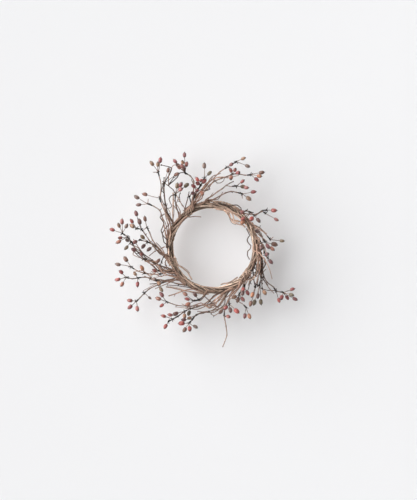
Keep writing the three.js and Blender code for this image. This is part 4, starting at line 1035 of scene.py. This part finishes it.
def sprig_barks(look):
    """Barks of stems, of the dark wrap at knots, and of curly tendrils."""
    return [
        bark_material("bark_stem", look.pale, look.dark, look.tip),
        bark_material("bark_knot", look.knot, dimmed(look.knot, KNOT_SHADE), look.knot),
        bark_material("bark_tendril", look.tendril, dimmed(look.tendril, CRACK_SHADE), look.tendril),
    ]


STEM_BARK, KNOT_BARK, TENDRIL_BARK = range(3)


def wall_material(colour):
    """Matt wall that shows from its front only, so that views from behind see the wreath."""
    material, tree, principled = new_material("wall_paint", PAINT_SHADER)
    grain = add_node(tree, "ShaderNodeTexNoise", PAINT_GRAIN)
    paint = mix_colour(tree, grain.outputs["Fac"], linear(colour), linear(dimmed(colour, PAINT_WORN)))
    tree.links.new(paint, principled.inputs["Base Color"])
    facing = add_node(tree, "ShaderNodeNewGeometry")
    ray = add_node(tree, "ShaderNodeLightPath")
    clear = add_node(tree, "ShaderNodeMath", {
        0: facing.outputs["Backfacing"], 1: ray.outputs["Is Shadow Ray"],
    }, operation="MAXIMUM")
    through = add_node(tree, "ShaderNodeBsdfTransparent")
    mix = add_node(tree, "ShaderNodeMixShader", {
        0: clear.outputs["Value"], 1: principled.outputs["BSDF"], 2: through.outputs["BSDF"],
    })
    tree.links.new(mix.outputs["Shader"], tree.nodes["Material Output"].inputs["Surface"])
    return material


# Settings

COLOUR = {"size": 3, "min": 0, "max": 1, "subtype": "COLOR_GAMMA"}
LENGTH = {"min": 0, "unit": "LENGTH"}
POWER = {"min": 0, "unit": "POWER"}


class RingLook(bpy.types.PropertyGroup):
    """Bark and strands of the vine ring."""

    pale: FloatVectorProperty(
        name="Pale bark", description="Colour of the palest vine", default=(1.0, 0.88, 0.79), **COLOUR)
    reddish: FloatVectorProperty(
        name="Reddish bark", description="Colour of the smooth reddish vine", default=(0.97, 0.83, 0.74),
        **COLOUR)
    shaded: FloatVectorProperty(
        name="Dark bark", description="Colour of the dark twisted vine and of the bindings",
        default=(0.9, 0.78, 0.69), **COLOUR)
    wander: FloatProperty(
        name="Wander", description="How far a vine strays from an even winding, in millimetres",
        default=0.7, min=0)
    thin_strands: IntProperty(
        name="Thin strands", description="Thin strands laid round the ring between the vines",
        default=5, min=0)


class SprigLook(bpy.types.PropertyGroup):
    """Bark, knots and stalks of the sprigs."""

    pale: FloatVectorProperty(
        name="Stem bark", description="Colour of a stem's raised fibres near the ring",
        default=(0.72, 0.6, 0.53), **COLOUR)
    dark: FloatVectorProperty(
        name="Stem cracks", description="Colour between a stem's fibres", default=(0.39, 0.29, 0.25),
        **COLOUR)
    tip: FloatVectorProperty(
        name="Stem tip", description="Colour that a stem turns toward its tip", default=(0.46, 0.4, 0.37),
        **COLOUR)
    knot: FloatVectorProperty(
        name="Knot", description="Colour of the knots that carry stalks", default=(0.27, 0.25, 0.24),
        **COLOUR)
    tendril: FloatVectorProperty(
        name="Tendril", description="Colour of the curly tendrils", default=(0.42, 0.35, 0.32), **COLOUR)
    fullness: FloatProperty(
        name="Fullness", description="Width of a stem's bark against its straight inner wire",
        default=1.15, min=0.5, max=2)
    stalk_diameter: FloatProperty(
        name="Stalk", description="Diameter of a berry's stalk", default=0.0011, **LENGTH)


class BerryLook(bpy.types.PropertyGroup):
    """Size and nub of the berries."""

    length: FloatProperty(name="Length", description="Length of a berry", default=0.01, **LENGTH)
    diameter: FloatProperty(name="Diameter", description="Width of a berry", default=0.0068, **LENGTH)
    spread: FloatProperty(
        name="Spread", description="Share by which berries differ in size", default=0.1, min=0, max=0.5)
    nub: FloatVectorProperty(
        name="Nub", description="Colour of the nub at a berry's tip", default=(0.14, 0.11, 0.1), **COLOUR)
    sides: IntProperty(name="Sides", description="Points round a berry", default=14, min=5)


class StageLook(bpy.types.PropertyGroup):
    """Wall, light and camera."""

    wall: FloatVectorProperty(
        name="Wall", description="Colour of the wall", default=(0.935, 0.935, 0.94), **COLOUR)
    wall_gap: FloatProperty(
        name="Wall gap", description="Distance from the ring's middle plane to the wall", default=0.055,
        **LENGTH)
    key_strength: FloatProperty(
        name="Key light", description="Strength of the wide soft light from the upper left", default=5.5,
        min=0)
    key_width: FloatProperty(
        name="Key width", description="Angle that the key light spans, which sets how soft shadows are",
        default=math.radians(85), min=0, max=math.pi, subtype="ANGLE")
    back_power: FloatProperty(
        name="Back light", description="Power of the light behind the wall", default=36.0, **POWER)
    fill_power: FloatProperty(
        name="Fill light", description="Power of the light from the right", default=5.0, **POWER)
    ambient: FloatProperty(
        name="Ambient", description="Strength of the even light from all round", default=0.04, min=0)
    backdrop: FloatProperty(
        name="Backdrop", description="Brightness of the plain backdrop seen past the wall", default=0.9,
        min=0)
    lens: FloatProperty(
        name="Lens", description="Focal length on a 36 mm sensor", default=100.0, min=1, unit="CAMERA")
    distance: FloatProperty(
        name="Camera distance", description="Distance from the camera to the ring's middle plane",
        default=2.5, min=0.1, unit="LENGTH")


# Operators

class WREATH_OT_ring(bpy.types.Operator):
    """Build the core vine, the wound vines and the thin strands of the ring"""

    bl_idname = "wreath.ring"
    bl_label = "Ring of vines"

    def execute(self, context):
        look = context.scene.wreath_ring
        core = Growth()
        line = winding_line(0, FULL_TURN - LAP_END_CLOCK, 0, 0, 0, CORE.step)
        core.add_strand(line, [CORE_RADIUS] * len(line), CORE, 0, random.Random("core"))
        make_piece("core_vine_bark", core, [vine_bark(look, "shaded")], "wreath", ["core_vine"])
        for number, vine in enumerate(VINES):
            self.wind_vine(number, vine, look)
        for number in range(look.thin_strands):
            self.wind_thin_strand(number, look)
        self.lay_top_strand(look)
        return {"FINISHED"}

    def wind_vine(self, number, vine, look):
        """Winds one vine twice round the core."""
        bark, pitch, shoots = vine
        rng = random.Random("vine" + str(number))
        start = FULL_TURN * number / VINE_COUNT
        turn = FULL_TURN * number / LAPS_ROUND_CORE + start * VINE_TWISTS_PER_LAP
        line = winding_line(
            start, VINE_LAPS * FULL_TURN - LAP_END_CLOCK, turn, VINE_TWISTS_PER_LAP, WINDING_RADIUS,
            VINE.step, look.wander, rng.uniform(*STRAY_SEEDS))
        growth = Growth()
        for thick, away, phase, tints in shoots:
            kind = VINE._replace(tints=tints)
            add_shoot(growth, line, thick * VINE_DIAMETER, away * VINE_DIAMETER, phase, pitch, kind, rng)
        name = "ring_vine_" + str(number + 1)
        make_piece(name + "_bark", growth, [vine_bark(look, bark)], "wreath", [name])

    def wind_thin_strand(self, number, look):
        """Lays one thin strand slantwise round the ring over the vines."""
        rng = random.Random("thin" + str(number))
        turns = rng.choice(THIN_STRAND["turns"])
        start = FULL_TURN * number / look.thin_strands + rng.uniform(*THIN_STRAND["shift"])
        line = winding_line(
            start, FULL_TURN - THIN_STRAND["gap"], rng.uniform(0, FULL_TURN), turns,
            SECTION_RADIUS - THIN_STRAND["sunk"], THIN.step, THIN_STRAND["wander"], rng.uniform(*STRAY_SEEDS))
        thick = rng.uniform(*THIN_STRAND["thickness"])
        growth = Growth()
        growth.add_strand(line, tapered(line, thick, thick * THIN_STRAND["taper"]), THIN, 0, rng)
        bark = vine_bark(look, rng.choice(THIN_STRAND["barks"]))
        make_piece("ring_strand_" + str(number + 1), growth, [bark], "wreath")

    def lay_top_strand(self, look):
        """Lays the strand of two twisted shoots along the outside of the ring's top."""
        rng = random.Random("top strand")
        top = TOP_STRAND
        thick = top["thickness"]
        line = winding_line(
            top["start"], top["travel"], top["turn"], top["turns"], SECTION_RADIUS + thick / 2,
            TOP_SHOOT.step, top["wander"], top["seed"])
        growth = Growth()
        for phase in (0, FULL_TURN / 2):
            add_shoot(growth, line, thick, top["apart"], phase, top["pitch"], TOP_SHOOT, rng)
        make_piece("ring_strand_top", growth, [vine_bark(look, "shaded")], "wreath")


def add_shoot(growth, line, thick, away, phase, pitch, kind, rng):
    """Adds a shoot that twists about a line, a distance away from it, once in each pitch."""
    seed = rng.uniform(*STRAY_SEEDS)
    path = []
    radii = []
    for point, length, (_, *axes) in zip(line, line_lengths(line), line_frames(line)):
        turn = math.radians(phase) + 2 * math.pi * length / pitch
        path.append(point + sideways_at(axes, turn) * away)
        radii.append(thick / 2 * (1 + SHOOT_SWELL * stray(length * SWELL_PITCH, seed, "swell")))
    growth.add_strand(path, radii, kind, 0, rng)


class WREATH_OT_bindings(bpy.types.Operator):
    """Build the thin reddish vines bound over the feet of the sprigs"""

    bl_idname = "wreath.bindings"
    bl_label = "Binding vines"

    def execute(self, context):
        look = context.scene.wreath_ring
        barks = [vine_bark(look, "shaded"), vine_bark(look, "reddish")]
        for name, start, end in BINDINGS:
            rng = random.Random(name)
            growth = Growth()
            for slot, first_turn, share in BINDING_STRANDS:
                lean = rng.uniform(*BINDING_LEAN)
                line = self.binding_line(start, end, first_turn, lean, rng.uniform(*STRAY_SEEDS))
                growth.add_strand(line, [BINDING_DIAMETER * share / 2] * len(line), BINDING, slot, rng)
            make_piece(name + "_bark", growth, barks, "wreath", [name])
        return {"FINISHED"}

    def binding_line(self, start, end, first_turn, lean, seed):
        """Points of a binding that lies on the vines, and rises over each foot that it crosses."""
        line = []
        for i in range(BINDING_STEPS + 1):
            strayed = stray(i * BINDING_STRAY["pitch"], seed, "out")
            turn = first_turn + FULL_TURN * BINDING_TURNS * i / BINDING_STEPS
            angle = math.radians(turn)
            clock = start + (end - start) * i / BINDING_STEPS + BINDING_STRAY["clock"] * strayed
            clock += lean * math.cos(angle)
            radius = self.over_feet(clock, turn) - BINDING_SUNK + BINDING_STRAY["out"] * strayed
            line.append(place(clock, radius * math.cos(angle), radius * math.sin(angle), RING_RADIUS))
        return line

    def over_feet(self, clock, turn):
        """Distance from the ring's centre line to a binding, over the vines or over the feet on them."""
        feet = [(*sprig.foot, STEM_DIAMETER) for sprig in SPRIGS]
        feet += [(*runner.foot[:2], runner.diameters[0]) for runner in RUNNERS]
        radius = SECTION_RADIUS + BINDING_CLEARANCE + BINDING_DIAMETER / 2
        for foot_clock, seat, diameter in feet:
            distance = math.radians(clock - foot_clock) * RING_RADIUS
            if abs(distance) > FOOT_LENGTH / 2 + BINDING_DIAMETER:
                continue
            outward = math.cos(math.radians(seat))
            middle = seat_radius(foot_clock, seat, diameter) + bow_at(distance) * outward
            resting = (diameter + BINDING_DIAMETER) / 2 + BINDING_CLEARANCE
            aside = wrapped(turn - seat, FULL_TURN)
            sideways = middle * math.sin(aside)
            if abs(sideways) < resting and math.cos(aside) > 0:
                radius = max(radius, middle * math.cos(aside) + math.sqrt(resting ** 2 - sideways ** 2))
        return radius


class WREATH_OT_runners(bpy.types.Operator):
    """Build the loose vine ends, the curly tendrils and the bare twigs"""

    bl_idname = "wreath.runners"
    bl_label = "Loose vines, tendrils and twigs"

    def execute(self, context):
        stem, _, tendril = sprig_barks(context.scene.wreath_sprig)
        barks = {"vine": vine_bark(context.scene.wreath_ring, "reddish"), "tendril": tendril, "twig": stem}
        for slot, name, diameters, foot, edge, route in RUNNERS:
            rng = random.Random(name)
            clock, seat, heading = foot
            free = [place(*point, edge) for point in route]
            line = smooth_line(foot_line(clock, seat, diameters[0], heading) + free, RUNNER.step, EASES[slot])
            growth = Growth()
            radii = tapered(line, *diameters)
            growth.add_strand(line, radii, RUNNER, 0, rng)
            if slot == "vine":
                self.add_companion(growth, line, radii, rng)
            if slot == "twig":
                add_stubs(growth, free[1:-1], 0, rng, "twig")
            make_piece(name + "_bark", growth, [barks[slot]], "wreath", [name])
        return {"FINISHED"}

    def add_companion(self, growth, line, radii, rng):
        """Adds a thinner strand that twists closely along another and ends before it does."""
        lengths = line_lengths(line)
        ends_at = lengths[-1] * rng.uniform(*ALONGSIDE["ends"])
        phase = rng.uniform(0, 2 * math.pi)
        turning = rng.choice((-1, 1)) * rng.uniform(*ALONGSIDE["turning"])
        path = []
        for point, length, radius, (_, *axes) in zip(line, lengths, radii, line_frames(line)):
            if length > ends_at:
                break
            off = radius + ALONGSIDE["near"] + ALONGSIDE["away"] * min(1.0, length / ALONGSIDE["away_at"])
            path.append(point + sideways_at(axes, phase + turning * length) * off)
        thick = rng.uniform(*ALONGSIDE["thickness"])
        growth.add_strand(path, tapered(path, thick, thick * ALONGSIDE["taper"]), COMPANION, 0, rng)


def add_stubs(growth, knots, slot, rng, count):
    """Adds short broken side shoots at knots."""
    for knot in knots:
        for _ in range(rng.choice(STUB_COUNTS[count])):
            heading = random_way(rng, STUB_BACK)
            reach = rng.uniform(*STUB_REACH)
            line = [knot + heading * (reach * share) for share in STUB_SHAPE]
            growth.add_strand(line, list(STUB_SHAPE.values()), STUB, slot, rng)


class WREATH_OT_shoots(bpy.types.Operator):
    """Build the thin bare shoots that cross between the ring and the sprigs"""

    bl_idname = "wreath.shoots"
    bl_label = "Thin shoots"

    def execute(self, context):
        barks = sprig_barks(context.scene.wreath_sprig)
        for name, routes in SHOOTS.items():
            rng = random.Random(name)
            growth = Growth()
            for route in routes:
                knots = [place(*point) for point in route]
                line = smooth_line(knots, SHOOT.step, EASES["twig"])
                thick = rng.uniform(*BARE_THICKNESS)
                radii = tapered(line, thick, thick * BARE_TAPER)
                growth.add_strand(line, radii, SHOOT, rng.choice((STEM_BARK, TENDRIL_BARK)), rng)
                add_stubs(growth, knots[2:-1], KNOT_BARK, rng, "stem")
                growth.add_knob(rng.choice(knots[2:]), thick * BARE_KNOT, KNOT_BARK, rng)
            make_piece(name, growth, barks, "wreath")
        return {"FINISHED"}


class WREATH_OT_sprigs(bpy.types.Operator):
    """Build the berry sprigs: stems, side twigs, knots, stalks and berries"""

    bl_idname = "wreath.sprigs"
    bl_label = "Berry sprigs"

    def execute(self, context):
        look = context.scene.wreath_sprig
        berry_look = context.scene.wreath_berry
        barks = sprig_barks(look)
        for sprig in SPRIGS:
            node = "sprig_" + sprig.name
            body = body_of(node)
            rng = random.Random(sprig.name)
            knots = [place(*point) for point in sprig.stem]
            growth = Growth()
            lines = [self.grow_stem(growth, sprig, knots, body != "wreath", look, rng)]
            lines += self.grow_twigs(growth, sprig, knots, look, rng)
            berries, tones = self.grow_berries(growth, sprig, knots, look, berry_look, rng)
            for start in sorted({entry[0] for entry in sprig.berries}):
                self.grow_tape(growth, lines, knots[start], rng)
            make_piece(node + "_stem", growth, barks, body, [node])
            skins = [berry_material(tone, berry_look.nub) for tone in tones]
            make_piece(node + "_berries", berries, skins, body, [node])
        return {"FINISHED"}

    def grow_stem(self, growth, sprig, knots, moves, look, rng):
        """Adds the stem with a swelling at each knot and loose strands along it, and returns its line."""
        line = smooth_line(foot_line(*sprig.foot, STEM_DIAMETER) + knots, STEM.step, EASES["twig"])
        radii = tapered(line, STEM_DIAMETER * look.fullness, STEM_TIP_DIAMETER * look.fullness)
        for i, point in enumerate(line):
            nearest = min((point - knot).length for knot in knots)
            radii[i] += KNOT_SWELL * math.exp(-(nearest / KNOT_REACH) ** 2)
        count, swing = sprig.strands
        begin = 0.0
        if moves:
            begin = FOOT_LENGTH
            swing = min(swing, LIFTED_SWING)
            for i, length in enumerate(line_lengths(line)):
                if length < FOOT_LENGTH:
                    radii[i] *= LIFTED_FOOT
        growth.add_strand(line, radii, sprig.kind, STEM_BARK, rng)
        for _ in range(count):
            self.add_weaver(growth, line, begin, swing, rng)
        add_stubs(growth, knots[1:-1], KNOT_BARK, rng, "stem")
        return line

    def add_weaver(self, growth, line, begin, swing, rng):
        """Adds a thin shoot that leaves a stem's foot and crosses the stem from side to side in kinks."""
        lengths = line_lengths(line)
        frames = line_frames(line)
        ends_at = lengths[-1] * rng.uniform(*WEAVE["ends"])
        side = rng.choice((-1, 1))
        at = begin + rng.uniform(*WEAVE["begins"]) * FOOT_LENGTH
        knots = []
        while at < ends_at or len(knots) < WEAVE["least_knots"]:
            i = min(range(len(line)), key=lambda k: abs(lengths[k] - at))
            ahead = frames[i][0]
            aside = Vector((ahead.z, 0.0, -ahead.x)).normalized()
            spread = swing * min(1.0, at / WEAVE["wide_at"])
            out = side * (WEAVE["near"] + spread * rng.uniform(*WEAVE["aside"]))
            deep = rng.uniform(*WEAVE["deep"]) * (WEAVE["near"] + spread)
            knots.append(line[i] + aside * out + Vector((0.0, deep, 0.0)))
            at += rng.uniform(*WEAVE["apart"])
            side *= rng.choice(WEAVE["crossings"])
        path = smooth_line(knots, WEAVER.step, EASES["twig"])
        thick = rng.uniform(*WEAVE["thickness"])
        young, old = WEAVER.ages
        kind = WEAVER._replace(ages=(young, rng.uniform(WEAVE["youngest_tip"], old)))
        growth.add_strand(path, tapered(path, thick, thick * WEAVE["taper"]), kind, STEM_BARK, rng)

    def grow_twigs(self, growth, sprig, knots, look, rng):
        """Adds the side twigs, numbers each one's end as a knot, and returns their lines."""
        lines = []
        for start, *route in sprig.twigs:
            points = [knots[start], *(place(*point) for point in route)]
            line = smooth_line(points, TWIG.step, EASES["tendril"])
            radii = tapered(line, *(diameter * look.fullness for diameter in TWIG_DIAMETERS))
            slot = TENDRIL_BARK if len(route) >= CURLY_KNOTS else STEM_BARK
            growth.add_strand(line, radii, TWIG, slot, rng)
            knots.append(points[-1])
            lines.append(line)
        return lines

    def grow_berries(self, growth, sprig, knots, look, berry_look, rng):
        """Adds stalks to the stem and dry crowns at the berries' tips, and returns the berries with their
        tones.
        """
        berries = Growth()
        tones = []
        for start, clock, reach, lift, tone, *size in sprig.berries:
            if tone not in tones:
                tones.append(tone)
            scale = (size[0] if size else 1.0) * (1 + berry_look.spread * rng.uniform(*BERRY_SIZES))
            length = berry_look.length / MM * scale
            diameter = berry_look.diameter / MM * scale * rng.uniform(*BERRY_GIRTHS)
            heading = place(clock, reach, lift) - knots[start]
            way = max(heading.length, length / 2)
            heading.normalize()
            base = knots[start] + heading * (way - length / 2)
            self.grow_stalk(growth, knots[start], base + heading * (STALK_SUNK * length), look, rng)
            berries.add_berry(base, heading, length, diameter, tones.index(tone), rng, berry_look.sides)
            self.grow_crown(growth, base + heading * (BERRY_TIP * length), heading, rng)
        return berries, tones

    def grow_tape(self, growth, lines, knot, rng):
        """Adds the dark sleeve that binds stalks to a stem below a knot, with a knob and short stubs."""
        line = min(lines, key=lambda points: min((point - knot).length for point in points))
        last = min(range(len(line)), key=lambda i: (line[i] - knot).length)
        sleeve = line[max(0, last - rng.choice(TAPE_STEPS)):last + 1]
        if len(sleeve) > 2:
            swell = rng.uniform(*TAPE_THICKNESS)
            growth.add_strand(sleeve, tapered(sleeve, swell * TAPE_TAPER, swell), TAPE, KNOT_BARK, rng)
        growth.add_knob(knot, rng.uniform(*KNOB_RADIUS), KNOT_BARK, rng)
        add_stubs(growth, [knot], KNOT_BARK, rng, "tape")

    def grow_stalk(self, growth, start, end, look, rng):
        """Adds one thin, slightly bowed stalk."""
        span = end - start
        bow = span.orthogonal().normalized() * (STALK_BOW * span.length * rng.uniform(-1, 1))
        count = max(STALK_LEAST_STEPS, round(span.length / STALK.step))
        shares = [i / count for i in range(count + 1)]
        line = [start + span * share + bow * math.sin(math.pi * share) for share in shares]
        thick = look.stalk_diameter / MM
        growth.add_strand(line, tapered(line, thick * STALK_TAPER, thick), STALK, STEM_BARK, rng)

    def grow_crown(self, growth, tip, heading, rng):
        """Adds the small dry teeth left by the flower at a berry's tip."""
        axes = square_to(heading)
        teeth = rng.choice(CROWN_TEETH)
        for tooth in range(teeth):
            side = sideways_at(axes, 2 * math.pi * tooth / teeth + rng.uniform(*CROWN_UNEVEN))
            line = [tip + heading * ahead + side * aside for ahead, aside, _ in CROWN_TOOTH]
            growth.add_strand(line, [radius for _, _, radius in CROWN_TOOTH], TOOTH, KNOT_BARK, rng)


class WREATH_OT_stage(bpy.types.Operator):
    """Build the wall, the soft lights and the camera"""

    bl_idname = "wreath.stage"
    bl_label = "Wall, light and camera"

    def execute(self, context):
        look = context.scene.wreath_stage
        self.add_wall(look)
        key = bpy.data.lights.new("key", "SUN")
        key.energy = look.key_strength
        key.angle = look.key_width
        self.aim(self.put(key, KEY_PLACE))
        for name, offset in SOFT_PLACES.items():
            light = bpy.data.lights.new(name, "AREA")
            light.energy = getattr(look, name + "_power")
            light.size = SOFT_SIZE
            self.aim(self.put(light, offset))
        context.scene.world = self.light_world(look)
        context.scene.view_settings.view_transform = "Standard"
        camera = bpy.data.cameras.new("camera")
        camera.lens = look.lens
        camera.sensor_width = SENSOR_WIDTH
        holder = self.put(camera, Vector((0.0, -look.distance, 0.0)))
        holder.rotation_euler = (math.pi / 2, 0.0, 0.0)
        context.scene.camera = holder
        return {"FINISHED"}

    def add_wall(self, look):
        """Adds a wide wall behind the wreath, facing the viewer."""
        ends = ((-1, -1), (1, -1), (1, 1), (-1, 1))
        corners = [(x * WALL_HALF, look.wall_gap, z * WALL_HALF) for x, z in ends]
        mesh = bpy.data.meshes.new("wall")
        mesh.from_pydata(corners, [], [(0, 1, 2, 3)])
        mesh.materials.append(wall_material(look.wall))
        wall = bpy.data.objects.new("wall", mesh)
        bpy.context.scene.collection.objects.link(wall)

    def light_world(self, look):
        """Makes the world's even light, and a pale backdrop where the camera sees past the wall."""
        world = bpy.data.worlds.new("studio")
        world.use_nodes = True
        tree = world.node_tree
        seen = add_node(tree, "ShaderNodeLightPath").outputs["Is Camera Ray"]
        strength = map_range(tree, seen, 0.0, 1.0, look.ambient, look.backdrop)
        background = tree.nodes["Background"]
        background.inputs["Color"].default_value = (1.0, 1.0, 1.0, 1.0)
        tree.links.new(strength, background.inputs["Strength"])
        return world

    def put(self, thing, offset):
        """Places a light or the camera at an offset from the wreath's middle."""
        holder = bpy.data.objects.new(thing.name, thing)
        holder.location = STAGE_MIDDLE + offset
        bpy.context.scene.collection.objects.link(holder)
        return holder

    def aim(self, holder):
        """Points a light at the wreath's middle."""
        holder.rotation_euler = (STAGE_MIDDLE - holder.location).to_track_quat("-Z", "Y").to_euler()


class WREATH_PT_sidebar(bpy.types.Panel):
    """Lists the wreath's pieces and settings"""

    bl_idname = "WREATH_PT_sidebar"
    bl_label = "Berry Wreath"
    bl_space_type = "VIEW_3D"
    bl_region_type = "UI"
    bl_category = "Wreath"

    def draw(self, context):
        sections = (
            ("wreath_ring", (WREATH_OT_ring, WREATH_OT_bindings, WREATH_OT_runners)),
            ("wreath_sprig", (WREATH_OT_shoots, WREATH_OT_sprigs)),
            ("wreath_berry", ()),
            ("wreath_stage", (WREATH_OT_stage,)),
        )
        for settings, operators in sections:
            box = self.layout.box()
            look = getattr(context.scene, settings)
            for label in look.__annotations__:
                box.prop(look, label)
            for operator in operators:
                box.operator(operator.bl_idname)


LOOKS = {
    "wreath_ring": RingLook,
    "wreath_sprig": SprigLook,
    "wreath_berry": BerryLook,
    "wreath_stage": StageLook,
}
CLASSES = (
    WREATH_OT_ring, WREATH_OT_bindings, WREATH_OT_runners, WREATH_OT_shoots, WREATH_OT_sprigs,
    WREATH_OT_stage, WREATH_PT_sidebar,
)


def register():
    for name, look in LOOKS.items():
        bpy.utils.register_class(look)
        setattr(bpy.types.Scene, name, PointerProperty(type=look))
    for kind in CLASSES:
        bpy.utils.register_class(kind)


def unregister():
    for kind in reversed(CLASSES):
        bpy.utils.unregister_class(kind)
    for name, look in LOOKS.items():
        delattr(bpy.types.Scene, name)
        bpy.utils.unregister_class(look)


def main():
    register()
    bpy.ops.wreath.ring()
    bpy.ops.wreath.bindings()
    bpy.ops.wreath.runners()
    bpy.ops.wreath.shoots()
    bpy.ops.wreath.sprigs()
    bpy.ops.wreath.stage()


if __name__ == "__main__":
    main()
